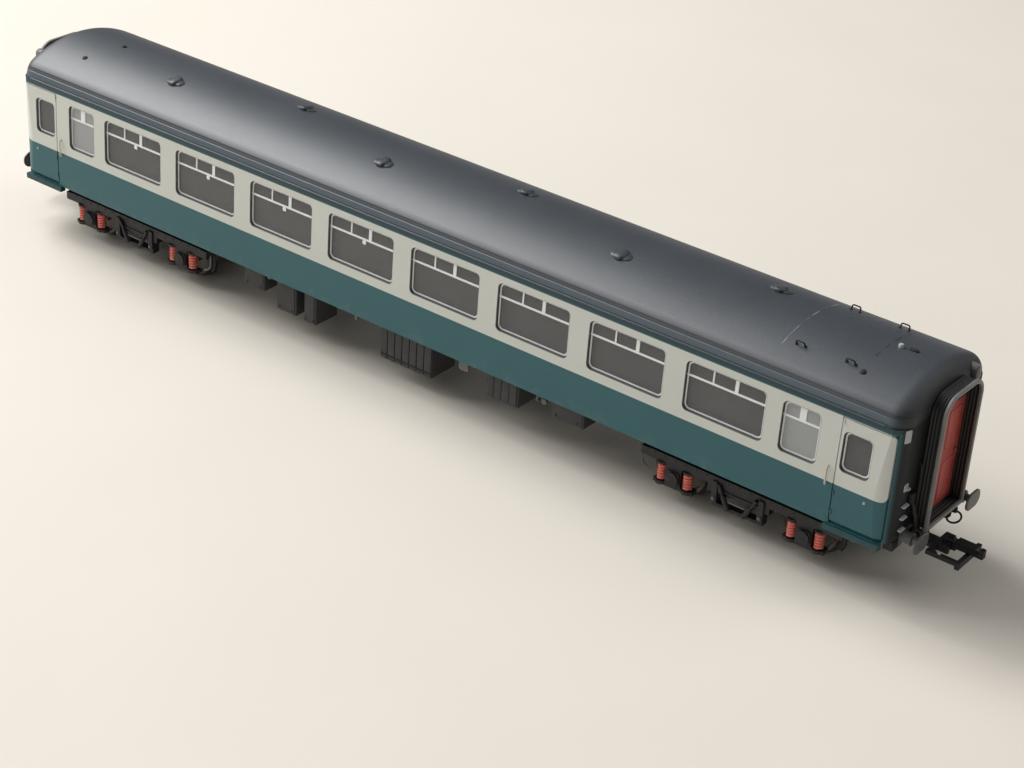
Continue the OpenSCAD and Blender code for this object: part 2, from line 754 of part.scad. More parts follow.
body_shell();
roof();
roof_vents();
roof_fittings();
glazing_left();
glazing_right();
window_frames_left();
window_frames_right();
door_handrails();
door_steps();
underframe();
ballast_weight();
seating_unit();
partitions();
battery_boxes();
equipment_boxes();
brake_gear();
gangway_a();
gangway_b();
gangway_plate_a();
gangway_plate_b();
gangway_door_a();
gangway_door_b();
buffers_a();
buffers_b();
end_fittings_a();
end_fittings_b();
end_pipes_a();
end_pipes_b();
bogie_a_frame();
bogie_a_springs();
bogie_a_pivot();
bogie_a_coupling();
bogie_b_frame();
bogie_b_springs();
bogie_b_pivot();
bogie_b_coupling();
coupling_hook_a();
coupling_hook_b();
wheels_a1();
axle_a1();
wheels_a2();
axle_a2();
wheels_b1();
axle_b1();
wheels_b2();
axle_b2();
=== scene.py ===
"""Looks of a model railway passenger coach, built round its CAD frame.

Shapes are worked out in millimetres and put into the meshes in metres. +X runs along the
coach, +Z is up; end "a" is at -X, end "b" at +X.
"""

import math

import bmesh
import bpy
import numpy as np
from mathutils import Matrix, Vector


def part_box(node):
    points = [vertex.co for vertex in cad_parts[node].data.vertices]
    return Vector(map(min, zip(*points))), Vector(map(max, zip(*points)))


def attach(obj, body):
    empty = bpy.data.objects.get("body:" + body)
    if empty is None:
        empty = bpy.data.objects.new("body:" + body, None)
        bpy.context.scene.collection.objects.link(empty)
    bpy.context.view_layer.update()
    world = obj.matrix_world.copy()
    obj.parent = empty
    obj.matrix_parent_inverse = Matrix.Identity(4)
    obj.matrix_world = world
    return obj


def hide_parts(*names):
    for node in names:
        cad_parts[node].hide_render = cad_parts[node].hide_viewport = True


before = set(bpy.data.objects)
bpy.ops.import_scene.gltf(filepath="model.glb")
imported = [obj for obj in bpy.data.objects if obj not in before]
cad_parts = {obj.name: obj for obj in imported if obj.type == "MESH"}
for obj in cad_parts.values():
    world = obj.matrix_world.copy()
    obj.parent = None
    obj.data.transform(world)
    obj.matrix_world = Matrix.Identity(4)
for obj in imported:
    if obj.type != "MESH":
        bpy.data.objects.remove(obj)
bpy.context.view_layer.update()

MM = 0.001
ENDS = {"a": -1, "b": 1}
SIDES = (-1, 1)
ALONG, ACROSS, UP = (1, 0, 0), (0, 1, 0), (0, 0, 1)


def span(node):
    """Lowest and highest corner of a CAD node, in millimetres."""
    lo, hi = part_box(node)
    return np.array(lo) / MM, np.array(hi) / MM


# ------------------------------------------------------------------ sizes

BODY_LO, BODY_HI = span("body_shell")
HALF_L = BODY_HI[0]
HALF_W = BODY_HI[1]
SKIRT_Z = BODY_LO[2]
EAVES_Z = BODY_HI[2]
ROOF_TOP = span("roof")[1][2]
BELLY_Z = 26.0
SIDE_R = 320.0
WALL = 1.1
CORNER_R = 4.5
SHOULDER_R = 4.8
ROOF_END_R = 3.8
EAVES_Y = HALF_W - SIDE_R + math.sqrt(SIDE_R**2 - (EAVES_Z - BELLY_Z) ** 2)

# Edges of the pale panel that holds the windows
WAIST_Z = 25.2
PANEL_TOP = 41.3
PANEL_END = 130.3
PANEL_R = 1.3

WINDOW_PITCH = 25.66
WINDOW_Z = 27.6
WINDOW_H = 11.95
WINDOW_W = 20.2
WINDOW_R = 1.3
TOILET_X = 108.6
TOILET_W = 9.2
DOOR_WINDOW_X = 122.3
DOOR_WINDOW_W = 6.9
DOOR_WINDOW_Z = 28.8
DOOR_WINDOW_H = 9.4

# Joints across the roof, the inner one raised and the outer one sunk
ROOF_SEAM_X = 98.5
ROOF_GROOVE_X = 117.2


def side_y(z):
    """Half width of the body at height z, on the side's arc."""
    return HALF_W - SIDE_R + np.sqrt(SIDE_R**2 - (z - BELLY_Z) ** 2)


# ----------------------------------------------------------------- shapes
# A sheet is an array of rows of points, rows x columns x 3, in millimetres.


def ring(count):
    """Angles of count points round a full circle, with the first one again at the end."""
    return np.linspace(0, 2 * np.pi, count + 1)


def revolve(radii, heights, centre, axis, count=32):
    """Turned shape: the point at radius r and height h goes to centre + h*axis + r*(cos a*u + sin a*v)."""
    axis = np.array(axis, float) / np.linalg.norm(axis)
    u = np.cross(axis, [0, 0, 1] if abs(axis[2]) < 0.9 else [1, 0, 0])
    u /= np.linalg.norm(u)
    v = np.cross(axis, u)
    a = ring(count)[None, :, None]
    r = np.array(radii, float)[:, None, None]
    h = np.array(heights, float)[:, None, None]
    return np.array(centre, float) + h * axis + r * (np.cos(a) * u + np.sin(a) * v)


def capped(rows, first, last):
    """Rows of a sheet, closed by the point first before them and the point last after them."""
    start, end = [np.broadcast_to(point, rows[:1].shape) for point in (first, last)]
    return np.concatenate([start, rows, end])


def tube(path, radius, count=10):
    """Round wire: circles of the radius square to the path, closed by a point at each end.
    The circle's first direction is carried on from point to point along the path."""
    path = np.array(path, float)
    run = np.gradient(path, axis=0)
    run /= np.linalg.norm(run, axis=1)[:, None]
    first = np.cross(run[0], [0.31, 0.17, 0.93])
    across = np.empty_like(path)
    for i, direction in enumerate(run):
        first = first - direction * (first @ direction)
        first /= np.linalg.norm(first)
        across[i] = first
    other = np.cross(run, across)
    a = ring(count)[None, :, None]
    rows = path[:, None] + radius * (np.cos(a) * across[:, None] + np.sin(a) * other[:, None])
    return capped(rows, path[0], path[-1])


def rounded_outline(w, h, r, steps=4):
    """Rectangle w by h about the origin with quarter circles of radius r at its corners, closed."""
    turn = np.linspace(0, np.pi / 2, steps + 1)
    angles = np.concatenate([turn + k * np.pi / 2 for k in range(4)])
    cx = np.repeat([w / 2 - r, r - w / 2, r - w / 2, w / 2 - r], steps + 1)
    cy = np.repeat([h / 2 - r, h / 2 - r, r - h / 2, r - h / 2], steps + 1)
    outline = np.stack([cx + r * np.cos(angles), cy + r * np.sin(angles)], 1)
    return np.concatenate([outline, outline[:1]])


def slab(w, h, t, centre, across=ALONG, up=UP, r=0.3, edge=0.12):
    """Plate w by h and t thick with round corners: outlines that shrink by a quarter circle of
    radius edge at both faces, closed by a point in the middle of each face."""
    across, up = np.array(across, float), np.array(up, float)
    out = np.cross(across, up)
    turn = np.linspace(0, np.pi / 2, 4)
    inset = edge * (1 - np.sin(turn))
    depth = t / 2 - edge + edge * np.cos(turn)
    inset = np.concatenate([inset, inset[::-1]])
    depth = np.concatenate([-depth, depth[::-1]])
    rows = [rounded_outline(w - 2 * i, h - 2 * i, max(r - i, 0.02)) for i in inset]
    flat = np.stack(rows)
    sheet = flat[..., :1] * across + flat[..., 1:] * up + depth[:, None, None] * out
    return np.array(centre, float) + capped(sheet, out * depth[0], out * depth[-1])


def box_between(lo, hi, edge=0.15):
    """Box from corner lo to corner hi with rounded edges."""
    lo, hi = np.array(lo, float), np.array(hi, float)
    size, mid = hi - lo, (hi + lo) / 2
    edge = min(edge, size.min() / 2.2)
    return slab(size[0], size[1], size[2], mid, ALONG, ACROSS, r=edge * 1.2, edge=edge)


def carried(outline, path, out, up):
    """Closed outline carried along a path: outline x along out, outline y along up, at each point.
    out and up hold one direction for each point of the path."""
    outline, path = np.array(outline, float), np.array(path, float)
    rows = path[:, None] + outline[None, :, :1] * out[:, None] + outline[None, :, 1:] * up[:, None]
    return capped(rows, rows[0].mean(0), rows[-1].mean(0))


def mesh_from(name, sheets, sharp=35):
    """Joins sheets into one mesh: neighbours in rows and columns make a face, points that meet
    are merged, and faces that shrink to nothing are dropped."""
    points, faces, start = [], [], 0
    for sheet in sheets:
        rows, cols = sheet.shape[:2]
        index = start + np.arange(rows * cols).reshape(rows, cols)
        faces.append(np.stack([index[:-1, :-1], index[:-1, 1:], index[1:, 1:], index[1:, :-1]], -1)
                     .reshape(-1, 4))
        points.append(sheet.reshape(-1, 3))
        start += rows * cols
    points = np.concatenate(points) * MM
    faces = np.concatenate(faces)
    keys = np.round(points / 2e-7).astype(np.int64)
    _, kept, merged = np.unique(keys, axis=0, return_index=True, return_inverse=True)
    faces = merged.reshape(-1)[faces]
    same = faces == np.roll(faces, -1, axis=1)
    quads = faces[same.sum(1) == 0]
    bent = faces[same.sum(1) == 1]
    keep = ~same[same.sum(1) == 1]
    corners = bent[keep].reshape(-1, 3)
    corners = corners[(corners[:, 0] != corners[:, 1]) & (corners[:, 1] != corners[:, 2])
                      & (corners[:, 0] != corners[:, 2])]
    mesh = bpy.data.meshes.new(name)
    loops = np.concatenate([quads.reshape(-1), corners.reshape(-1)])
    totals = np.concatenate([np.full(len(quads), 4), np.full(len(corners), 3)])
    mesh.vertices.add(len(kept))
    mesh.vertices.foreach_set("co", points[kept].reshape(-1).astype(np.float32))
    mesh.loops.add(len(loops))
    mesh.loops.foreach_set("vertex_index", loops.astype(np.int32))
    mesh.polygons.add(len(totals))
    mesh.polygons.foreach_set("loop_start", (np.cumsum(totals) - totals).astype(np.int32))
    mesh.update(calc_edges=True)
    mesh.validate()
    work = bmesh.new()
    work.from_mesh(mesh)
    bmesh.ops.recalc_face_normals(work, faces=work.faces)
    work.to_mesh(mesh)
    work.free()
    mesh.polygons.foreach_set("use_smooth", np.ones(len(mesh.polygons), bool))
    mesh.set_sharp_from_angle(angle=math.radians(sharp))
    return mesh


def piece(name, sheets, finish, body="body", replaces=(), sharp=35):
    """Makes one named piece of the coach and lets it ride on its body. finish is a name in FINISHES."""
    made = bpy.data.objects.new(name, mesh_from(name, sheets, sharp))
    bpy.context.scene.collection.objects.link(made)
    made.data.materials.append(FINISHES[finish])
    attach(made, body)
    if replaces:
        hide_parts(*replaces)


# -------------------------------------------------------------- materials


class Wire:
    """A node's output. Arithmetic on wires and numbers adds the Math nodes that work it out."""

    def __init__(self, finish, socket):
        self.finish = finish
        self.socket = socket

    def math(self, operation, *terms):
        return self.finish.node("ShaderNodeMath", {"operation": operation}, dict(enumerate(terms)))

    def __add__(self, other):
        return self.math("ADD", self, other)

    def __radd__(self, other):
        return self.math("ADD", other, self)

    def __sub__(self, other):
        return self.math("SUBTRACT", self, other)

    def __rsub__(self, other):
        return self.math("SUBTRACT", other, self)

    def __mul__(self, other):
        return self.math("MULTIPLY", self, other)

    def __rmul__(self, other):
        return self.math("MULTIPLY", other, self)

    def __abs__(self):
        return self.math("ABSOLUTE", self)

    def __lt__(self, other):
        return self.math("LESS_THAN", self, other)

    def over(self, other):
        """The larger of the two values."""
        return self.math("MAXIMUM", self, other)

    def remainder(self, other):
        return self.math("FLOORED_MODULO", self, other)

    def root(self):
        return self.math("SQRT", self)

    def rise(self, low, high):
        """0 below low, 1 above high, and a smooth step between them."""
        return self.finish.node("ShaderNodeMapRange", {"interpolation_type": "SMOOTHSTEP"},
                                {"Value": self, "From Min": low, "From Max": high})


class Finish:
    """One material. node() adds a node of any type and returns one of its outputs."""

    def __init__(self, name):
        self.material = bpy.data.materials.new(name)
        self.material.use_nodes = True
        self.tree = self.material.node_tree
        self.tree.nodes.clear()
        place = self.node("ShaderNodeTexCoord", output="Object")
        self.place = self.node("ShaderNodeVectorMath", {"operation": "SCALE"},
                               {0: place, "Scale": 1 / MM})
        self.x, self.y, self.z = [self.node("ShaderNodeSeparateXYZ", {}, {0: self.place}, k)
                                  for k in "XYZ"]

    def node(self, kind, settings=None, inputs=None, output=0):
        made = self.tree.nodes.new(kind)
        for key, value in (settings or {}).items():
            setattr(made, key, value)
        for key, value in (inputs or {}).items():
            if isinstance(value, Wire):
                self.tree.links.new(value.socket, made.inputs[key])
            else:
                made.inputs[key].default_value = value
        return Wire(self, made.outputs[output]) if made.outputs else None

    def noise(self, size, detail=3, rough=0.5, stretch=(1, 1, 1)):
        """Cloudy noise from 0 to 1 whose lumps are about size millimetres across."""
        place = self.node("ShaderNodeVectorMath", {"operation": "MULTIPLY"}, {0: self.place, 1: stretch})
        return self.node("ShaderNodeTexNoise", {}, {"Vector": place, "Scale": 1 / size, "Detail": detail,
                                                    "Roughness": rough})

    def mix(self, amount, first, second):
        """Colour that goes from first to second as amount goes from 0 to 1."""
        return self.node("ShaderNodeMix", {"data_type": "RGBA"}, {0: amount, 6: first, 7: second}, 2)

    def bump(self, height, depth):
        """Normal of a surface that is raised by height times depth millimetres."""
        return self.node("ShaderNodeBump", {}, {"Strength": 1.0, "Distance": depth * MM, "Height": height})

    def done(self, inputs):
        """Puts one shader with these inputs on the material, and returns the material."""
        shader = self.node("ShaderNodeBsdfPrincipled", {}, inputs)
        self.node("ShaderNodeOutputMaterial", {}, {"Surface": shader})
        return self.material


def shade(red, green, blue):
    """Linear colour from a paint chart's 0 to 255 values."""
    part = np.array([red, green, blue]) / 255
    linear = np.where(part <= 0.04045, part / 12.92, ((part + 0.055) / 1.055) ** 2.4)
    return (*[float(v) for v in linear], 1.0)


# Painted shade for the edges inside the window openings.
REVEAL_SHADE = shade(92, 94, 92)
# Near-black painted shade for the coach ends, which carry the blue-green paint.
END_SHADE = shade(10, 17, 20)
DUST = shade(150, 142, 128)


def rounded_mask(finish, along, up, centre, half_w, half_h, r, soft=0.06):
    """1 inside a rounded rectangle: the distance past its inner box, compared with its corner radius."""
    dx = (abs(along - centre[0]) - (half_w - r)).over(0)
    dz = (abs(up - centre[1]) - (half_h - r)).over(0)
    reach = (dx * dx + dz * dz).root()
    return 1 - reach.rise(r - soft, r + soft)


def window_openings(f, grow):
    """1 inside the outlines of all the windows of a side, grown by a little. The large windows
    repeat at their pitch, so their place is taken from the remainder of x by the pitch."""
    high = (WINDOW_Z + WINDOW_H / 2, WINDOW_H / 2 + grow)
    step = (f.x + 4 * WINDOW_PITCH).remainder(WINDOW_PITCH)
    large = rounded_mask(f, step, f.z, (WINDOW_PITCH / 2, high[0]), WINDOW_W / 2 + grow, high[1], WINDOW_R)
    large = large * (abs(f.x) < 4 * WINDOW_PITCH)
    toilet = rounded_mask(f, abs(f.x), f.z, (TOILET_X, high[0]), TOILET_W / 2 + grow, high[1], WINDOW_R)
    door = rounded_mask(f, abs(f.x), f.z, (DOOR_WINDOW_X, DOOR_WINDOW_Z + DOOR_WINDOW_H / 2),
                        DOOR_WINDOW_W / 2 + grow, DOOR_WINDOW_H / 2 + grow, WINDOW_R)
    return large.over(toilet).over(door)


def body_paint():
    """Gloss two-tone paint: a pale window panel that wraps the corners, blue-green below it, painted shade
    under the gutter above it, near-black painted shade on the ends, and painted shade inside the window
    openings."""
    f = Finish("body_paint")
    middle = (PANEL_TOP + WAIST_Z) / 2
    panel = rounded_mask(f, f.x, f.z, (0, middle), PANEL_END, (PANEL_TOP - WAIST_Z) / 2, PANEL_R)
    cloud = f.noise(14, 4)
    grain = f.noise(0.35, 2)
    end_wall = abs(f.x).rise(HALF_L - 1.5, HALF_L - 0.5)
    teal = f.mix(cloud, shade(24, 82, 89), shade(31, 91, 98))
    # Painted shade under the gutter: the blue-green turns darker above the pale panel.
    teal = f.mix(f.z.rise(PANEL_TOP + 0.1, PANEL_TOP + 0.5), teal, shade(16, 54, 65))
    cream = f.mix(cloud, shade(197, 199, 191), shade(204, 206, 199))
    # The end walls get near-black painted shade in place of their blue-green paint.
    colour = f.mix(panel, f.mix(end_wall, teal, END_SHADE), cream)
    dirt = (1 - f.z.rise(SKIRT_Z, SKIRT_Z + 4)) * f.noise(2.5, 4).rise(0.45, 0.8)
    colour = f.mix(dirt * 0.12, colour, DUST)
    # Painted shade on the edges inside the window openings, grown a little past their outlines.
    colour = f.mix(window_openings(f, 0.07), colour, REVEAL_SHADE)
    height = grain * 0.35 + f.noise(2.2, 2) * 0.5
    return f.done({"Base Color": colour, "Roughness": 0.38 + cloud * 0.14 + end_wall * 0.2,
                   "Coat Weight": (0.05 + 0.08 * cloud) * (1 - end_wall), "Coat Roughness": 0.2,
                   "Normal": f.bump(height, 0.02)})


def roof_paint():
    """Satin grey roof with a dark blue-green strip along the eaves, painted shade at its foot and on the
    rolled ends, two joints across end b with a painted highlight on the raised one and painted shade in the
    sunk one, and a little dust in its fine grain."""
    f = Finish("roof_paint")
    cloud = f.noise(16, 4)
    grain = f.noise(0.5, 3, 0.7)
    strip = 1 - f.z.rise(EAVES_Z + 1.9, EAVES_Z + 2.1)
    line = f.z.rise(EAVES_Z + 1.9, EAVES_Z + 2.1) - f.z.rise(EAVES_Z + 2.6, EAVES_Z + 3.0)
    shadow = 1 - f.z.rise(EAVES_Z + 0.5, EAVES_Z + 0.8)
    grey = f.mix(cloud, shade(46, 51, 57), shade(62, 67, 73))
    grey = f.mix(grain.rise(0.55, 0.8) * 0.35, grey, shade(96, 101, 107))
    blue = f.mix(cloud, shade(56, 72, 82), shade(66, 82, 92))
    colour = f.mix(strip, grey, f.mix(shadow, blue, shade(24, 44, 54)))
    colour = f.mix(line * 0.8, colour, shade(14, 22, 28))
    # Near-black painted shade on the rolled ends of the roof.
    end_wall = abs(f.x).rise(HALF_L - 4.0, HALF_L - 1.0)
    colour = f.mix(end_wall * 0.9, colour, shade(16, 19, 22))
    seam = 1 - abs(f.x - ROOF_SEAM_X).rise(0.08, 0.2)
    groove = (1 - abs(f.x - ROOF_GROOVE_X).rise(0.12, 0.28)) * f.noise(2.2, 1).rise(0.45, 0.5)
    flat = 1 - strip.over(line)
    reach = (1 - abs(f.y).rise(11, 13)) * flat
    # Painted highlight along the raised joint, then painted shade in the sunk joint.
    colour = f.mix(seam * reach * f.noise(3, 2).rise(0.4, 0.6) * 0.5, colour, shade(150, 153, 158))
    colour = f.mix(groove * reach * 0.8, colour, shade(24, 26, 30))
    height = grain * 0.6 + seam * reach - groove * reach - line * 3 + f.noise(3, 3) * 0.4
    return f.done({"Base Color": colour, "Roughness": 0.4 + grain * 0.16 + end_wall * 0.15,
                   "IOR": 1.7, "Normal": f.bump(height, 0.03)})


def window_glass():
    """Tinted clear plastic; the toilet windows are frosted and paler."""
    f = Finish("window_glass")
    frosted = 1 - abs(abs(f.x) - TOILET_X).rise(4.5, 4.6)
    haze = f.noise(6, 3)
    colour = f.mix(haze, shade(92, 93, 94), shade(106, 107, 107))
    colour = f.mix(frosted, colour, shade(158, 160, 161))
    height = f.noise(9, 2) * 0.5 + f.noise(0.3, 2) * frosted
    return f.done({"Base Color": colour, "Roughness": 0.16 + haze * 0.1 + frosted * 0.3,
                   "Alpha": 0.72 + frosted * 0.24, "IOR": 1.49, "Normal": f.bump(height, 0.02)})


def plastic(name, light, dark, rough=0.5, grain_size=0.3, depth=0.012, dust=0.2):
    """Moulded plastic: two tones in soft clouds, fine grain, and dust on the rougher spots."""
    f = Finish(name)
    cloud = f.noise(5, 4)
    grain = f.noise(grain_size, 3, 0.6)
    spots = f.noise(1.6, 5, 0.65).rise(0.5, 0.78)
    colour = f.mix(cloud, shade(*dark), shade(*light))
    colour = f.mix(spots * dust, colour, DUST)
    return f.done({"Base Color": colour, "Roughness": rough - 0.08 + grain * 0.16 + spots * 0.1,
                   "Normal": f.bump(grain + cloud * 0.5, depth)})


def metal(name, light, dark, rough=0.3, brushed=(1, 1, 8), depth=0.008):
    """Turned or rolled metal: fine scratches that run one way, with dull patches."""
    f = Finish(name)
    lines = f.noise(0.5, 3, 0.6, brushed)
    dull = f.noise(2.4, 4).rise(0.4, 0.75)
    colour = f.mix(lines, shade(*dark), shade(*light))
    return f.done({"Base Color": f.mix(dull * 0.3, colour, shade(*dark)), "Metallic": 0.9 - dull * 0.25,
                   "Roughness": rough + dull * 0.22 + lines * 0.08, "Normal": f.bump(lines, depth)})


def printed_white():
    """Silver-white print of the window bars, slightly broken along its length."""
    f = Finish("frame_print")
    fleck = f.noise(0.5, 4, 0.7)
    colour = f.mix(fleck.rise(0.62, 0.8) * 0.5, shade(232, 234, 234), shade(170, 172, 172))
    return f.done({"Base Color": colour, "Roughness": 0.35 + fleck * 0.2, "Metallic": 0.1,
                   "Normal": f.bump(fleck, 0.01)})


def door_red():
    """Brick-red gangway door with pale rubbed spots and a few dark streaks down it."""
    f = Finish("red_paint")
    streak = f.noise(1.2, 4, 0.6, (1, 2.4, 0.35))
    spots = f.noise(0.7, 3).rise(0.68, 0.78)
    colour = f.mix(streak, shade(150, 56, 50), shade(206, 92, 80))
    colour = f.mix(spots * 0.6, colour, shade(226, 176, 166))
    return f.done({"Base Color": colour, "Roughness": 0.4 + streak * 0.2,
                   "Normal": f.bump(streak + spots, 0.02)})


def spring_red():
    """Salmon-red paint on the coil springs, with darker specks scattered at random."""
    f = Finish("spring_paint")
    rub = f.noise(0.8, 4)
    colour = f.mix(rub, shade(204, 96, 84), shade(232, 132, 116))
    colour = f.mix(f.noise(0.4, 3).rise(0.6, 0.8) * 0.4, colour, shade(90, 40, 36))
    return f.done({"Base Color": colour, "Roughness": 0.42 + rub * 0.2, "Normal": f.bump(rub, 0.02)})


# Light and dark tone, roughness, size and depth of the grain, and dust
PLASTICS = {
    "cream_wire": ((206, 202, 178), (184, 180, 160), 0.4, 0.3, 0.01, 0.15),
    "black_plastic": ((22, 22, 24), (14, 14, 16), 0.6, 0.3, 0.015, 0.04),
    # Black for the underframe, darkened further as painted shade under the coach.
    "underframe_black_and_shade": ((22, 22, 23), (14, 14, 15), 0.62, 0.35, 0.02, 0.06),
    "box_grey": ((62, 63, 63), (46, 47, 47), 0.62, 0.35, 0.02, 0.1),
    "bogie_black": ((34, 34, 35), (22, 22, 23), 0.52, 0.3, 0.02, 0.08),
    "seat_plastic": ((122, 92, 66), (92, 68, 50), 0.62, 0.25, 0.03, 0.05),
    "partition_plastic": ((188, 182, 166), (170, 164, 150), 0.55, 0.4, 0.01, 0.05),
    "grey_plastic": ((112, 112, 110), (84, 84, 84), 0.42, 0.3, 0.012, 0.2),
    "pale_paint": ((196, 198, 198), (142, 147, 148), 0.45, 0.3, 0.01, 0.1),
    "faceplate_grey": ((128, 126, 122), (92, 91, 89), 0.45, 0.3, 0.012, 0.25),
    "step_teal": ((28, 72, 78), (18, 56, 62), 0.5, 0.3, 0.012, 0.1),
    "vent_grey": ((74, 79, 84), (38, 42, 47), 0.4, 0.3, 0.02, 0.15),
    "buffer_grey": ((92, 92, 90), (66, 66, 65), 0.34, 0.3, 0.012, 0.15),
}

# Light and dark tone, roughness, and how far the scratches are squeezed along each axis
METALS = {
    "ballast_steel": ((150, 152, 154), (104, 106, 110), 0.38, (1, 8, 1)),
    "screw_steel": ((178, 178, 178), (120, 122, 124), 0.28, (8, 1, 1)),
    "hook_steel": ((60, 60, 62), (34, 34, 36), 0.42, (1, 8, 1)),
    "wheel_metal": ((120, 116, 112), (62, 60, 60), 0.36, (1, 6, 1)),
    "axle_steel": ((186, 186, 188), (130, 132, 136), 0.25, (8, 1, 8)),
}

FINISHES = {
    "body_paint": body_paint(),
    "roof_paint": roof_paint(),
    "window_glass": window_glass(),
    "frame_print": printed_white(),
    "red_paint": door_red(),
    "spring_paint": spring_red(),
    **{name: plastic(name, *look) for name, look in PLASTICS.items()},
    **{name: metal(name, *look) for name, look in METALS.items()},
}

NODE_FINISH = {
    "body_shell": "body_paint", "roof": "roof_paint", "roof_vents": "roof_paint",
    "roof_fittings": "black_plastic", "glazing_": "window_glass", "window_frames_": "frame_print",
    "door_handrails": "cream_wire", "door_steps": "step_teal", "underframe": "underframe_black_and_shade",
    "ballast_weight": "ballast_steel", "seating_unit": "seat_plastic",
    "partitions": "partition_plastic", "battery_boxes": "box_grey", "equipment_boxes": "box_grey",
    "brake_gear": "underframe_black_and_shade", "gangway_plate_": "grey_plastic", "gangway_door_": "red_paint",
    "gangway_": "black_plastic", "buffers_": "grey_plastic", "end_fittings_": "pale_paint",
    "end_pipes_": "black_plastic", "bogie_a_frame": "bogie_black", "bogie_b_frame": "bogie_black",
    "bogie_a_springs": "spring_paint", "bogie_b_springs": "spring_paint",
    "bogie_a_pivot": "screw_steel", "bogie_b_pivot": "screw_steel",
    "bogie_a_coupling": "black_plastic", "bogie_b_coupling": "black_plastic",
    "coupling_hook_": "hook_steel", "wheels_": "wheel_metal", "axle_": "axle_steel",
}


def dress_cad_nodes():
    """Gives every CAD node the finish of the longest name in NODE_FINISH that it starts with."""
    for name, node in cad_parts.items():
        match = max((k for k in NODE_FINISH if name.startswith(k)), key=len)
        for place in node.material_slots:
            place.material = FINISHES[NODE_FINISH[match]]
        if not node.material_slots:
            node.data.materials.append(FINISHES[NODE_FINISH[match]])


# ------------------------------------------------------------------- roof


def roof_arch(off, steps=28):
    """Arch of the roof, shrunk by off: a shoulder arc, the crown arc and the other shoulder arc."""
    shoulder_y = EAVES_Y - SHOULDER_R
    rise = ROOF_TOP - EAVES_Z
    crown_r = (shoulder_y**2 + rise**2 - SHOULDER_R**2) / (2 * (rise - SHOULDER_R))
    crown_z = ROOF_TOP - crown_r
    lean = math.atan2(EAVES_Z - crown_z, shoulder_y)
    low = np.linspace(0, lean, 14)
    top = np.linspace(lean, np.pi - lean, steps)[1:-1]
    y = np.concatenate([shoulder_y + (SHOULDER_R - off) * np.cos(low), (crown_r - off) * np.cos(top),
                        -shoulder_y - (SHOULDER_R - off) * np.cos(low[::-1])])
    z = np.concatenate([EAVES_Z + (SHOULDER_R - off) * np.sin(low), crown_z + (crown_r - off) * np.sin(top),
                        EAVES_Z + (SHOULDER_R - off) * np.sin(low[::-1])])
    return y, z


def roof_sheet(off):
    """Arch carried along the coach. Near an end the arch narrows and sinks along quarter circles of
    the corner radius, and at the end wall it sinks on down to the eaves."""
    y, z = roof_arch(off)
    r = CORNER_R - off
    end = HALF_L - off
    turn = np.linspace(0, np.pi / 2, 12)
    near = end - r + r * np.sin(turn)
    x = np.concatenate([-near[::-1], np.linspace(r - end, end - r, 60)[1:-1], near])
    depth = np.clip((np.abs(x) - (end - r)) / r, 0, 1)
    narrow = r * (1 - np.sqrt(1 - depth**2))
    roll = ROOF_END_R - off
    sink = roll * (1 - np.sqrt(1 - np.clip((np.abs(x) - (end - roll)) / roll, 0, 1) ** 2))
    top = ROOF_TOP - off
    tall = (top - sink - EAVES_Z) / (top - EAVES_Z)
    wide = (EAVES_Y - off - narrow) / (EAVES_Y - off)
    fall = np.linspace(1, 0, 7)[1:]
    x = np.concatenate([np.full(6, x[0]), x, np.full(6, x[-1])])
    tall = np.concatenate([tall[0] * fall[::-1], tall, tall[-1] * fall])
    wide = np.concatenate([np.full(6, wide[0]), wide, np.full(6, wide[-1])])
    return np.stack([np.broadcast_to(x[:, None], (len(x), len(y))), wide[:, None] * y,
                     EAVES_Z + tall[:, None] * (z - EAVES_Z)], -1)


def roof_height(y):
    """Height of the roof's outside at a distance y from the middle line, away from the ends."""
    arch_y, arch_z = roof_arch(0, 200)
    return np.interp(y, arch_y[::-1], arch_z[::-1])


def make_roof():
    """Roof skin: an outer and an inner arch sheet joined by rims, with a gutter bead along the eaves."""
    outer, inner = roof_sheet(0), roof_sheet(WALL)
    rims = [np.stack([outer[:, 0], inner[:, 0]]), np.stack([outer[:, -1], inner[:, -1]]),
            np.stack([outer[0], inner[0]]), np.stack([outer[-1], inner[-1]])]
    reach = HALF_L - CORNER_R
    gutters = []
    for s in SIDES:
        bead = rounded_outline(0.7, 0.42, 0.18, 3) + [0.0, 0.25]
        path = np.array([[x, s * (EAVES_Y - 0.02), EAVES_Z] for x in (-reach, 0, reach)])
        out = np.tile([0.0, s * 1.0, 0.0], (3, 1))
        gutters.append(carried(bead, path, out, np.tile([0.0, 0.0, 1.0], (3, 1))))
    piece("roof_skin", [outer, inner, *rims, *gutters], "roof_paint",
          replaces=("roof",), sharp=40)


def make_vents():
    """Shell ventilators: a pointed base on the roof, and a cap with steep sides across its middle."""
    bases, caps = [], []
    lo, hi = span("roof_vents")
    pitch = (hi[0] - lo[0] - 5.2) / 5
    for i in range(6):
        x = (i - 2.5) * pitch
        y = (-1 if i % 2 == 0 else 1) * 5.5
        base = roof_height(y)
        tilt = math.atan2(roof_height(y + 1) - base, 1)
        for length, width, height, power, into in ((2.75, 1.45, 0.5, 0.8, bases),
                                                   (1.35, 2.0, 0.92, 0.55, caps)):
            a = np.linspace(0, np.pi, 21)[:, None]
            b = ring(32)[None, :]
            shape = np.sin(a) ** power
            u = length * shape * np.sign(np.cos(b)) * np.abs(np.cos(b)) ** 0.7
            v = width * shape * np.sign(np.sin(b)) * np.abs(np.sin(b)) ** 0.7
            w = height * np.sign(np.cos(a)) * np.abs(np.cos(a)) ** power * np.ones_like(b)
            top = base + v * math.tan(tilt) + np.where(w > 0, w, w * 0.4)
            into.append(np.stack([x + u, y + v, top], -1))
    piece("vent_shells", bases, "vent_grey", replaces=("roof_vents",))
    piece("vent_caps", caps, "vent_grey")


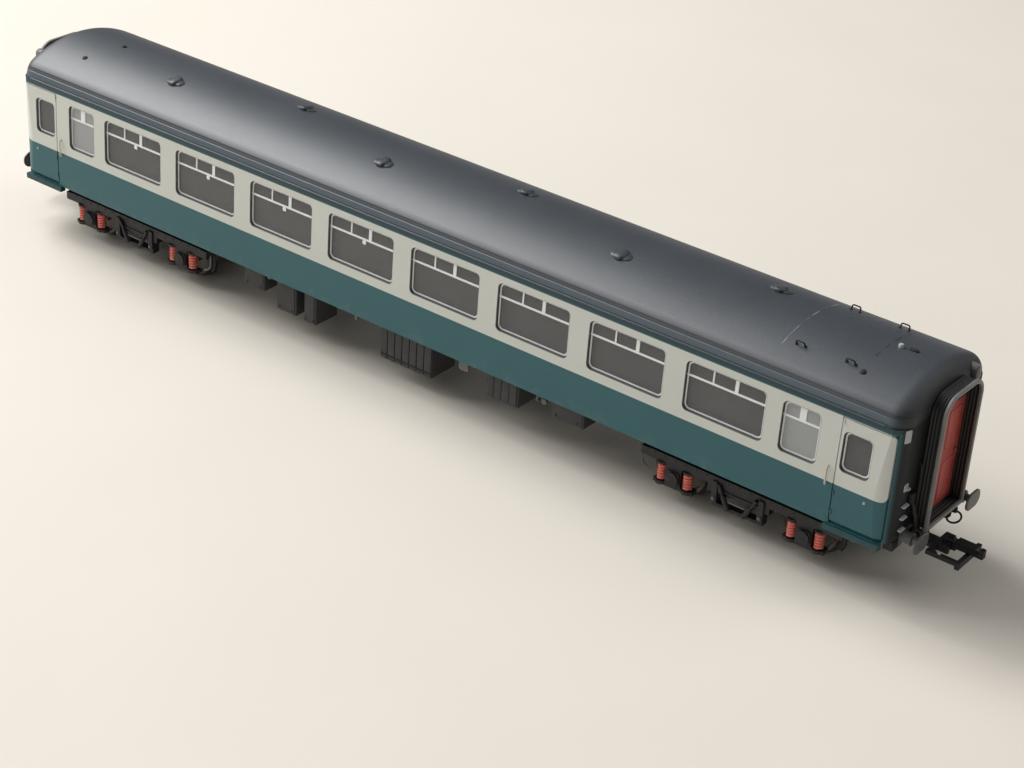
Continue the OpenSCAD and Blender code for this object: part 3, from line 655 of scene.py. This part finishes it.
def make_roof_fittings():
    """Filler caps, a lamp pot and the wire hand loops near the ends of the roof."""
    caps = []
    for x, y in ((-116.3, -9.3), (-112.6, 1.0), (117.4, -11.3)):
        caps.append(revolve([0, 0.72, 0.72, 0.62, 0.4, 0.38, 0], [-0.7, -0.7, 0.12, 0.24, 0.28, 0.4, 0.42],
                            (x, y, roof_height(y)), (0, y * 0.03, 1), 20))
    caps.append(slab(2.2, 0.9, 0.5, (122.2, 0.9, roof_height(0.9) + 0.12), ALONG, ACROSS, 0.4, 0.15))
    for x, y in ((102.2, -10.8), (114.0, -10.4), (102.6, 10.8), (114.6, 10.8)):
        lean = y * 0.03
        out = np.array([0, lean, 1]) / math.hypot(lean, 1)
        caps.append(bent_wire((x, y, roof_height(y) - 0.2), out, ALONG, 1.3, 2.1, 0.17))
        for d in (-1.05, 1.05):
            caps.append(revolve([0, 0.4, 0.4, 0.25, 0], [-0.3, -0.3, 0.12, 0.25, 0.26],
                                (x + d, y, roof_height(y)), out, 12))
    piece("roof_fillers", caps, "underframe_black_and_shade", replaces=("roof_fittings",))
    pot = revolve([0, 0.6, 0.6, 0.5, 0.3, 0], [-0.4, -0.4, 0.5, 0.7, 0.8, 0.82],
                  (119.4, 0.4, roof_height(0.4)), UP, 20)
    piece("roof_pot", [pot], "pale_paint")


# ---------------------------------------------------------------- springs

# Place of a coil spring: distance from its axle and from the middle line
SPRING_OFF = 3.45
SPRING_Y = 13.6
SPRING_R = 1.15
SPRING_WIRE = 0.33
SPRING_TURNS = 6.5


def axle_centre(name):
    """X and Z of an axle's middle."""
    lo, hi = span("axle_" + name)
    return (lo[0] + hi[0]) / 2, (lo[2] + hi[2]) / 2


def make_springs(end):
    """Coil springs: a wire wound round an upright cylinder, with flat end turns and a guide inside."""
    body = "bogie_" + end
    lo, hi = span(body + "_springs")
    coils, guides = [], []
    wire = SPRING_WIRE
    r = SPRING_R - wire
    t = np.linspace(0, 1, 160)
    climb = np.clip((t - 0.08) / 0.84, 0, 1)
    for number in "12":
        for side in SIDES:
            for step in (-SPRING_OFF, SPRING_OFF):
                x = axle_centre(end + number)[0] + step
                y = side * SPRING_Y
                a = 2 * np.pi * SPRING_TURNS * t
                z = lo[2] + wire + (hi[2] - lo[2] - 2 * wire) * climb
                coils.append(tube(np.stack([x + r * np.cos(a), y + r * np.sin(a), z], 1), wire, 8))
                guides.append(revolve([0, 0.62, 0.62, 0], [lo[2], lo[2], hi[2], hi[2]], (x, y, 0), UP, 16))
    piece("spring_coils_" + end, coils, "spring_paint", body, replaces=(body + "_springs",))
    piece("spring_guides_" + end, guides, "spring_paint", body)


# ------------------------------------------------------------- body fittings


def bent_wire(base, out, along, reach, length, thick, steps=25):
    """Staple-shaped wire: it leaves the surface at base - along*length/2, stands off by reach and comes
    back at base + along*length/2, with superellipse corners."""
    a = np.linspace(-np.pi / 2, np.pi / 2, steps)[:, None]
    run = np.sign(np.sin(a)) * np.abs(np.sin(a)) ** 0.35 * length / 2
    off = np.abs(np.cos(a)) ** 0.35 * reach
    return tube(np.array(base, float) + run * np.array(along, float) + off * np.array(out, float), thick, 8)


def make_door_fittings():
    """Wire handrails beside the end doors, lock plates and turned handles on the doors, and hinges."""
    rails, locks, hinges = [], [], []
    for e in (-1, 1):
        for s in SIDES:
            rails.append(bent_wire((e * 116.4, s * side_y(26.7), 26.7), (0, s, 0), UP, 0.62, 4.4, 0.2))
            y = s * side_y(23.7)
            locks.append(slab(0.6, 0.7, 0.14, (e * 125.7, y, 23.7), r=0.25, edge=0.05))
            locks.append(revolve([0, 0.14, 0.14, 0.22, 0.22, 0.15, 0], [0, 0, 0.2, 0.24, 0.34, 0.38, 0.38],
                                 (e * 125.7, y, 23.7), (0, s, 0), 14))
            for z in (18.5, 23.2, 40.2):
                hinges.append(revolve([0, 0.16, 0.2, 0.2, 0.16, 0], [-0.55, -0.55, -0.5, 0.5, 0.55, 0.55],
                                      (e * 118.4, s * (side_y(z) + 0.02), z), UP, 12))
    piece("door_rails", rails, "cream_wire", replaces=("door_handrails",))
    piece("door_locks", locks, "pale_paint")
    piece("door_hinges", hinges, "body_paint")


def make_window_labels():
    """Small blank white labels that hang under the bar of four windows on each side."""
    sheets = []
    for s in SIDES:
        for i in range(4):
            x = s * ((3.5 - i) * WINDOW_PITCH - 0.7)
            z = WINDOW_Z + WINDOW_H * 0.7
            y = s * (side_y(z) - 0.6)
            sheets.append(slab(1.1, 1.0, 0.12, (x, y, z - 0.75), r=0.25, edge=0.05))
    piece("window_labels", sheets, "frame_print")


def make_seats():
    """Seats, tables and floor of the saloon in one moulding: cushions and backs are slabs whose edges
    are rounded, with a wing and a head roll on each back."""
    lo, hi = span("seating_unit")
    floor_top = lo[2] + 1.0
    sheets = [slab(hi[0] - lo[0], hi[1] - lo[1], 1.0, (0, 0, lo[2] + 0.5), ALONG, ACROSS, r=0.4, edge=0.1)]
    wide, aisle = 12.6, 2.8
    for s in SIDES:
        mid = s * (aisle + wide / 2)
        for i in range(9):
            x = (i - 4) * WINDOW_PITCH
            sheets.append(slab(2.0, 13.2, wide, (x, mid, floor_top + 6.6), ALONG, UP, r=0.8, edge=0.5))
            for d in (-1, 1):
                if abs(i - 4 + d * 0.5) > 4:
                    continue
                for half in (-1, 1):
                    seat_y = mid + half * wide / 4
                    sheets.append(slab(5.4, 2.2, wide / 2 - 0.2, (x + d * 3.7, seat_y, floor_top + 4.4),
                                       ALONG, UP, r=0.9, edge=0.5))
                    sheets.append(slab(0.9, 8.2, wide / 2 - 0.5, (x + d * 1.25, seat_y, floor_top + 8.2),
                                       ALONG, UP, r=0.4, edge=0.35))
                    sheets.append(revolve([0, 0.5, 0.72, 0.72, 0.5, 0], [-2.5, -2.5, -2.2, 2.2, 2.5, 2.5],
                                          (x + d * 1.35, seat_y, floor_top + 12.2), ACROSS, 14))
                sheets.append(slab(4.6, 3.3, wide - 0.8, (x + d * 3.3, mid, floor_top + 1.65),
                                   ALONG, UP, r=0.3, edge=0.2))
        for i in range(8):
            x = (i - 3.5) * WINDOW_PITCH
            sheets.append(slab(5.2, wide - 0.8, 0.7, (x, mid + s * 0.2, floor_top + 9.5), ALONG, ACROSS,
                               r=0.8, edge=0.2))
            sheets.append(slab(0.8, 9.2, 2.2, (x, mid + s * 3.6, floor_top + 4.6), ALONG, UP,
                               r=0.2, edge=0.15))
    piece("seats", sheets, "seat_plastic", replaces=("seating_unit",))


# -------------------------------------------------------------------- ends

GANGWAY_LO, GANGWAY_HI = span("gangway_plate_b")
GANGWAY_R = 4.4
GANGWAY_DOOR_Z = 42.0
GANGWAY_DOOR_T = 0.6
PLATE_T = 0.8
BUFFER_W = 6.2
BUFFER_H = 4.2
BUFFER_R = 2.05


def gangway_loop(inset):
    """Y and Z of an upright loop: square feet, straight sides and quarter circles at the top."""
    w = GANGWAY_HI[1] - inset
    top = GANGWAY_HI[2] - inset
    foot = GANGWAY_LO[2] + inset
    r = GANGWAY_R - inset
    turn = np.linspace(0, np.pi / 2, 10)
    y = np.concatenate([[w], w - r + r * np.cos(turn), r - w - r * np.sin(turn), [-w, w]])
    z = np.concatenate([[foot], top - r + r * np.sin(turn), top - r + r * np.cos(turn), [foot, foot]])
    return y, z


def loop_sheet(section, e):
    """Section of (inset, distance from the end wall) points carried round the gangway's loop, closed."""
    rows = []
    for inset, reach in section:
        y, z = gangway_loop(inset)
        rows.append(np.stack([np.full(len(y), e * (HALF_L + reach)), y, z], 1))
    return np.stack(rows + rows[:1])


def fan(outline_y, outline_z, x0, x1, hub):
    """Flat plate with the given outline between x0 and x1, with both faces closed to the hub point."""
    rows = [np.stack([np.full(len(outline_y), x), outline_y, outline_z], 1) for x in (x0, x1)]
    hubs = [np.broadcast_to([x, *hub], rows[0].shape) for x in (x0, x1)]
    return np.stack([hubs[0], rows[0], rows[1], hubs[1]])


def make_gangway(end):
    """Pleated bellows behind a faceplate with rounded rims, and a panelled door under a dark header."""
    e = ENDS[end]
    depth = GANGWAY_HI[0] - HALF_L
    face = depth - PLATE_T
    reach = np.linspace(0, face, 9)
    outer = [(0.25 if k % 2 else 0.5, x) for k, x in enumerate(reach)]
    inner = [(0.85 if k % 2 else 1.0, x) for k, x in enumerate(reach)][::-1]
    y, z = gangway_loop(0.7)
    header = fan(y, np.maximum(z, GANGWAY_DOOR_Z), e * HALF_L, e * (HALF_L + 0.7), (0, GANGWAY_DOOR_Z + 2))
    piece("bellows_" + end, [loop_sheet(outer + inner, e), header], "black_plastic",
          replaces=("gangway_" + end,), sharp=25)
    rim = rounded_outline(0.9, PLATE_T, 0.2, 4)[:-1]
    section = [(0.45 + p[0], face + PLATE_T / 2 + p[1]) for p in rim]
    piece("faceplate_" + end, [loop_sheet(section, e)], "faceplate_grey",
          replaces=("gangway_plate_" + end,))
    door_x = HALF_L + GANGWAY_DOOR_T
    y, z = gangway_loop(0.9)
    door = [fan(y, np.minimum(z, GANGWAY_DOOR_Z), e * HALF_L, e * door_x, (0, 28))]
    for low in (18.5, 31):
        for side in SIDES:
            door.append(slab(5.4, 9.4, 0.3, (e * door_x, side * 3.3, low + 4.5), ACROSS, UP,
                             r=0.7, edge=0.13))
    door.append(revolve([0, 0.2, 0.2, 0.42, 0.42, 0.2, 0], [0, 0, 0.25, 0.3, 0.42, 0.5, 0.5],
                        (e * door_x, e * 5.8, 29), (e, 0, 0), 18))
    door.append(slab(0.5, 3.2, 0.3, (e * door_x, e * 6.5, 29), ACROSS, UP, r=0.2, edge=0.1))
    piece("end_door_" + end, door, "red_paint", replaces=("gangway_door_" + end,))


def make_buffers(end):
    """Buffer with a square foot, a stepped barrel, a ram and a crowned oval head."""
    e = ENDS[end]
    lo, hi = span("buffers_" + end)
    face = max(abs(lo[0]), abs(hi[0]))
    z = (lo[2] + hi[2]) / 2
    sheets = []
    for s in SIDES:
        y = s * (hi[1] - BUFFER_W / 2)
        sheets.append(slab(3.6, 3.6, 0.4, (e * (HALF_L + 0.2), y, z), ACROSS, UP, r=0.4, edge=0.1))
        sheets.append(revolve([0, 1.5, 1.5, 1.3, 1.3, 1.45, 1.45, 1.2, 0.85, 0.85, 0],
                              [0.2, 0.2, 0.5, 0.8, 2.1, 2.2, 2.6, 2.7, 2.7, 4.1, 4.1],
                              (e * HALF_L, y, z), (e, 0, 0), 28))
        inset = np.array([0, 0, 0.12, 0.4, 0.9, 1.5, 2.0])
        depth = np.array([0.5, 0.16, 0.08, 0.05, 0.03, 0.01, 0.0])
        head = np.stack([rounded_outline(BUFFER_W - 2 * i, BUFFER_H - 2 * i, BUFFER_R - i, 6)
                         for i in inset])
        x = np.broadcast_to((face - depth)[:, None], head.shape[:2]) * e
        sheet = np.stack([x, y + head[..., 0], z + head[..., 1]], -1)
        sheets.append(capped(sheet, [e * (face - 0.5), y, z], [e * face, y, z]))
    piece("buffer_heads_" + end, sheets, "buffer_grey",
          replaces=("buffers_" + end,))


def make_end_fittings(end):
    """Steps, lamp bracket and a blank plate on the corner, grab wires, a jumper cable and pipes.
    End a is end b turned half round, so every place is turned with it."""
    e = ENDS[end]
    turn = np.array([e, e, 1.0])

    def at(x, y, z):
        """Point or row of points at x from the end wall."""
        return np.stack(np.broadcast_arrays(HALF_L + x, y, z), -1) * turn

    pale, dark = [], []
    for z in (17.6, 20.5, 23.4):
        pale.append(slab(2.2, 0.9, 0.3, at(0.45, -13.3, z + 0.17), ACROSS, ALONG, r=0.2, edge=0.08))
    pale.append(slab(1.6, 1.8, 0.25, at(0.1, -13.6, 28.0), ACROSS, UP, r=0.3, edge=0.08))
    pale.append(bent_wire(at(0.2, -13.6, 27.9), (e, 0, 0), ACROSS, 0.7, 1.0, 0.17))
    lean = math.radians(22)
    out = np.array([math.cos(lean), -math.sin(lean), 0])
    mid = np.array([HALF_L - CORNER_R, CORNER_R - HALF_W, 40.9]) + out * (CORNER_R + 0.05)
    across = np.array([math.sin(lean), math.cos(lean), 0])
    pale.append(slab(1.6, 3.0, 0.2, mid * turn, across * turn, UP, r=0.3, edge=0.06))
    for y in (-9.2, 9.2):
        dark.append(bent_wire(at(0, y, 26), (e, 0, 0), UP, 0.9, 12, 0.2))
    t = np.linspace(0, 1, 40)
    drop = at(0.6 + 1.2 * np.sin(np.pi * t), -10.8 + 2.0 * t, 24 - 8.5 * np.sin(np.pi * t / 2))
    dark.append(tube(drop, 0.35, 10))
    dark.append(slab(1.8, 2.2, 1.0, at(0.5, -10.8, 24.6), ACROSS, UP, r=0.3, edge=0.15))
    for y, r in ((-6, 0.5), (6, 0.5), (-3.6, 0.4)):
        a = np.linspace(0, np.pi, 30)
        hose = at(0.4 + 1.6 * np.sin(a), y + 0.35 * (1 - np.cos(a)), 14.6 - 1.5 * (1 - np.cos(a)))
        dark.append(tube(hose, r * 0.8, 10))
        dark.append(revolve([0, r, r * 1.3, r * 1.3, r, 0], [0, 0, 0.2, 0.8, 1.0, 1.0],
                            at(0.1, y, 14.6), (e, 0, 0), 16))
    a = np.linspace(-np.pi / 2 + 0.25, np.pi * 1.5 - 0.25, 40)
    dark.append(tube(at(2.6 + 1.25 * np.cos(a), 7.6 + 0.95 * np.cos(a), 11.8 - 1.5 * np.sin(a)), 0.24, 8))
    dark.append(revolve([0, 0.5, 0.5, 0.35, 0], [0, 0, 1.0, 1.3, 1.3], at(2.6, 7.6, 13.1), UP, 14))
    dark.append(slab(2.2, 1.0, 0.8, at(1.1, 0, 14.1), ALONG, UP, r=0.2, edge=0.1))
    piece("end_steps_" + end, pale, "pale_paint", replaces=("end_fittings_" + end,))
    piece("end_hoses_" + end, dark, "black_plastic", replaces=("end_pipes_" + end,))
    rows = []
    for inset, x in ((1.1, -1.3), (0, -1.3), (0, 0.75), (0.15, 1.0), (0.45, 1.15), (1.1, 1.2)):
        flat = rounded_outline(2.4 - 2 * inset, 3.9 - 2 * inset, 1.19 - inset, 6)
        rows.append(np.stack([np.full(len(flat), HALF_L + x), 10.4 + flat[:, 0], 45.55 + flat[:, 1]], 1))
    cover = np.stack(rows) * turn
    piece("support_cover_" + end, [cover], "grey_plastic")


# -------------------------------------------------------------- underframe

BOX_FACE_Y = 15.0
# First and last x and lowest z of the battery box, and the number of planks in its door
BATTERY_BOX = (-8.4, 7.6, 4.8)
PLANKS = 7


def make_boxes():
    """Battery box with a planked door, and smaller boxes with rounded edges, lids, hinges and bolts."""
    boxes, fittings = [], []
    for s in SIDES:
        face = s * BOX_FACE_Y
        x0, x1, z0 = BATTERY_BOX
        boxes.append(box_between((x0, min(s * 6, face), z0), (x1, max(s * 6, face), 15), 0.25))
        width = (x1 - x0) / PLANKS
        for i in range(PLANKS):
            mid = x0 + (i + 0.5) * width
            boxes.append(slab(width - 0.22, 9.6, 0.4, (mid, face + s * 0.12, 9.9), r=0.15, edge=0.1))
        for z in (6.2, 13.4):
            fittings.append(slab(15.4, 0.5, 0.2, (-0.4, face + s * 0.36, z), r=0.1, edge=0.06))
    near = ((-54, -47, 8.4), (-42.8, -36.2, 5.4), (-33.6, -29.6, 5.2), (24.2, 33.6, 7.2), (43, 52.4, 9.2))
    far = ((-52.4, -43, 9.2), (-33.6, -24.2, 7.2), (28.6, 35.2, 5.4), (40.8, 49.8, 6.4))
    for s, group in ((-1, near), (1, far)):
        face = s * BOX_FACE_Y
        for x0, x1, z0 in group:
            mid, wide = (x0 + x1) / 2, x1 - x0
            boxes.append(box_between((x0, min(s * 7, face), z0), (x1, max(s * 7, face), 15), 0.25))
            boxes.append(slab(wide - 0.9, 13.6 - z0, 0.3, (mid, face + s * 0.06, (z0 + 14.4) / 2),
                              r=0.3, edge=0.12))
            if wide > 9 and z0 < 8:
                for i in range(4):
                    boxes.append(slab(1.9, 6.4, 0.3, (x0 + 1.3 + i * 2.25, face + s * 0.2, 11),
                                      r=0.15, edge=0.1))
            for d in (-0.32, 0.32):
                fittings.append(revolve([0, 0.28, 0.28, 0], [-0.1, -0.1, 0.32, 0.34],
                                        (mid + d * wide, face, z0 + 1.1), (0, s, 0), 10))
    piece("underfloor_boxes", boxes, "box_grey",
          replaces=("battery_boxes", "equipment_boxes"))
    pegs = []
    for s in SIDES:
        pegs.append(box_between((s * 16.8 - 0.4, s * 14.3 - 0.5, 11.6),
                                (s * 16.8 + 0.4, s * 14.3 + 0.5, 14.6), 0.2))
        pegs.append(slab(2.9, 3.2, 0.5, (-s * 16.8, s * 14.4, 12.2), r=0.5, edge=0.12))
        pegs.append(bent_wire((-s * 38.7, s * 13.6, 12.6), (0, s, 0), UP, 1.0, 2.6, 0.26))
        pegs.append(revolve([0, 0.8, 0.8, 0.5, 0], [0, 0, 0.5, 0.7, 0.72],
                            (-s * 40.4, s * 13.8, 11.6), (0, s, 0), 18))
        pegs.append(box_between((s * 45.6 - 0.5, s * 14.6 - 0.4, 12.4),
                                (s * 45.6 + 0.5, s * 14.6 + 0.4, 13.6), 0.2))
    piece("valves", pegs, "grey_plastic")
    for x in np.linspace(-60, 60, 9):
        fittings.append(box_between((x - 0.5, -14.2, 14.1), (x + 0.5, 14.2, 15.0), 0.12))
    for s in SIDES:
        fittings.append(tube([(x, s * 10.6, 13.7) for x in np.linspace(-70, 70, 40)], 0.4, 10))
        fittings.append(tube([(x, s * 5.6, 13.9) for x in np.linspace(-70, 70, 40)], 0.3, 10))
        fittings.append(box_between((-71, s * 15.2 - 0.4, 13.4), (71, s * 15.2 + 0.4, 15.2), 0.15))
    piece("underfloor_pipes", fittings, "underframe_black_and_shade")


# ------------------------------------------------------------------ bogies

BOGIE_FACE_Y = 14.4
SHOE_Y = 9.2
SHOE_R = 7.3
HANGER_X = 7.7


def make_bogie_details(end):
    """Axlebox lids and bolts, brake shoes on hangers, swing-link brackets, dampers and end wires."""
    e = ENDS[end]
    body = "bogie_" + end
    lo, hi = span(body + "_frame")
    centre = (lo[0] + hi[0]) / 2
    axles = [axle_centre(end + number) for number in "12"]
    dark, light = [], []
    for s in SIDES:
        face = s * BOGIE_FACE_Y
        for x, z in axles:
            dark.append(slab(3.6, 3.4, 0.5, (x, face + s * 0.25, z), r=0.8, edge=0.15))
            dark.append(revolve([0, 1.25, 1.25, 1.05, 0.5, 0], [0.3, 0.3, 0.75, 0.98, 1.1, 1.12],
                                (x, face, z), (0, s, 0), 26))
            for k in range(4):
                a = math.pi / 4 + k * math.pi / 2
                dark.append(revolve([0, 0.22, 0.22, 0], [0.4, 0.4, 0.66, 0.68],
                                    (x + 1.35 * math.cos(a), face, z + 1.25 * math.sin(a)), (0, s, 0), 8))
            for d in (-1, 1):
                cup_x = x + d * SPRING_OFF
                dark.append(revolve([0, 1.5, 1.5, 1.2, 0], [-0.2, -0.2, 0.55, 0.6, 0.6],
                                    (cup_x, s * SPRING_Y, 4.4), UP, 22))
                dark.append(revolve([0, 1.35, 1.35, 0], [-0.35, -0.35, 0.2, 0.2],
                                    (cup_x, s * SPRING_Y, 9.6), UP, 22))
                arc = np.linspace(-0.42, 0.42, 9)
                shoe = np.stack([x + d * SHOE_R * np.cos(arc), np.full(9, s * SHOE_Y),
                                 z + SHOE_R * np.sin(arc)], 1)
                normal = np.stack([d * np.cos(arc), np.zeros(9), np.sin(arc)], 1)
                dark.append(carried(rounded_outline(0.9, 1.3, 0.2, 3), shoe, normal,
                                    np.tile([0.0, 1.0, 0.0], (9, 1))))
                hanger_x = x + d * HANGER_X
                if abs(x + d * SHOE_R - centre) > 12:
                    dark.append(tube([(hanger_x, s * SHOE_Y, z), (hanger_x, s * SHOE_Y, 10.6)], 0.3, 8))
                    dark.append(tube([(hanger_x, y, 10.6) for y in (s * SHOE_Y, s * 12.6)], 0.35, 8))
                else:
                    dark.append(tube([(hanger_x, s * SHOE_Y, z), (x + d * 8.6, s * SHOE_Y, 9.4)], 0.3, 8))
        for i in range(17):
            x = centre - 22.4 + i * 2.8
            dark.append(revolve([0, 0.2, 0.2, 0], [-0.05, -0.05, 0.14, 0.15], (x, face, 11.3), (0, s, 0), 8))
        dark.append(slab(11.6, 0.5, 0.4, (centre, face + s * 0.1, 9.0), r=0.15, edge=0.1))
        for d in (-1, 1):
            dark.append(slab(1.5, 5.2, 0.6, (centre + d * 6, face + s * 0.2, 8.4), r=0.4, edge=0.15))
            light.append(revolve([0, 0.42, 0.42, 0.3, 0], [0.3, 0.3, 0.7, 0.85, 0.86],
                                 (centre + d * 6, face, 6.6), (0, s, 0), 14))
            # Damper: a rod in a thicker barrel
            for x0, z0, x1, z1, r in ((2.2, 5.6, 4.9, 10.6, 0.42), (2.0, 5.2, 3.6, 8.2, 0.6)):
                foot = (centre + d * x0, face + s * 0.5, z0)
                dark.append(tube([foot, (centre + d * x1, face + s * 0.5, z1)], r, 12))
        rod_x = np.linspace(centre - 3.2, centre + 2.2, 6)
        light.append(tube([(x, face + s * 0.25, 7.1) for x in rod_x], 0.22, 8))
        inner = centre - e * 26.4
        a = np.linspace(0, np.pi / 2, 14)
        hook = np.concatenate([[[inner, s * 13.2, 10.6], [inner, s * 13.2, 9.6]],
                               np.stack([inner + e * 2.4 * (1 - np.cos(a)), np.full(14, s * 13.2),
                                         8.2 - 2.4 * np.sin(a)], 1)])
        light.append(tube(hook, 0.26, 8))
    piece("bogie_details_" + end, dark, "bogie_black", body)
    piece("bogie_rods_" + end, light, "grey_plastic", body)


# ------------------------------------------------------------------- stage

VIEW_FROM = (0.29448, -0.37307, 0.26700)
VIEW_YAW = -0.6334
VIEW_PITCH = -0.5193
VIEW_ROLL = 0.0647
VIEW_LENS = 77.89
FLOOR_HALF = 2.5


def make_camera():
    """Camera that looks along yaw and pitch, then rolled about its own line of sight."""
    ahead = Vector((math.sin(VIEW_YAW) * math.cos(VIEW_PITCH), math.cos(VIEW_YAW) * math.cos(VIEW_PITCH),
                    math.sin(VIEW_PITCH)))
    right = Vector((math.cos(VIEW_YAW), -math.sin(VIEW_YAW), 0))
    up = right.cross(ahead)
    across = math.cos(VIEW_ROLL) * right + math.sin(VIEW_ROLL) * up
    above = -math.sin(VIEW_ROLL) * right + math.cos(VIEW_ROLL) * up
    camera = bpy.data.objects.new("camera", bpy.data.cameras.new("camera"))
    bpy.context.scene.collection.objects.link(camera)
    turn = Matrix((across, above, -ahead)).transposed()
    camera.matrix_world = Matrix.Translation(VIEW_FROM) @ turn.to_4x4()
    camera.data.lens = VIEW_LENS
    camera.data.sensor_width = 36
    camera.data.clip_start = 0.01
    bpy.context.scene.camera = camera


def softbox(name, place, aim, size, power):
    """Square area light at place that faces aim."""
    light = bpy.data.objects.new(name, bpy.data.lights.new(name, "AREA"))
    bpy.context.scene.collection.objects.link(light)
    light.data.shape = "SQUARE"
    light.data.size = size
    light.data.energy = power
    light.location = place
    light.rotation_mode = "QUATERNION"
    light.rotation_quaternion = (Vector(aim) - Vector(place)).to_track_quat("-Z", "Y")


def make_stage():
    """Plain pale floor under the wheels, a strong softbox from the left and weaker ones round the coach."""
    f = Finish("floor_paper")
    tone = f.mix(f.noise(60, 2), shade(220, 213, 201), shade(226, 219, 208))
    paper = f.done({"Base Color": tone, "Roughness": 0.7})
    mesh = bpy.data.meshes.new("floor")
    corners = [(x * FLOOR_HALF, y * FLOOR_HALF, 0) for x, y in ((-1, -1), (1, -1), (1, 1), (-1, 1))]
    mesh.from_pydata(corners, [], [(0, 1, 2, 3)])
    floor = bpy.data.objects.new("floor", mesh)
    bpy.context.scene.collection.objects.link(floor)
    mesh.materials.append(paper)
    softbox("key", (-0.95, -0.25, 0.85), (0, 0, 0.03), 0.95, 16)
    softbox("crest", (-0.85, 0.12, 1.0), (0, 0, 0.05), 0.6, 7.5)
    softbox("overhead", (0.1, -0.3, 1.1), (0, 0, 0), 0.9, 1.2)
    softbox("fill", (-0.1, -1.0, 0.45), (0, 0, 0.02), 0.8, 1.9)
    softbox("back", (0.8, 0.75, 0.8), (0.1, 0.1, 0), 0.9, 4)
    world = bpy.data.worlds.new("studio")
    bpy.context.scene.world = world
    world.use_nodes = True
    world.node_tree.nodes["Background"].inputs["Color"].default_value = (0.9, 0.91, 0.93, 1)
    world.node_tree.nodes["Background"].inputs["Strength"].default_value = 0.11
    bpy.context.scene.view_settings.view_transform = "Standard"


# ---------------------------------------------------------------- assembly

make_camera()
dress_cad_nodes()
make_roof()
make_vents()
make_roof_fittings()
make_door_fittings()
make_window_labels()
make_seats()
make_boxes()
for end in ENDS:
    make_springs(end)
    make_bogie_details(end)
    make_gangway(end)
    make_buffers(end)
    make_end_fittings(end)
make_stage()
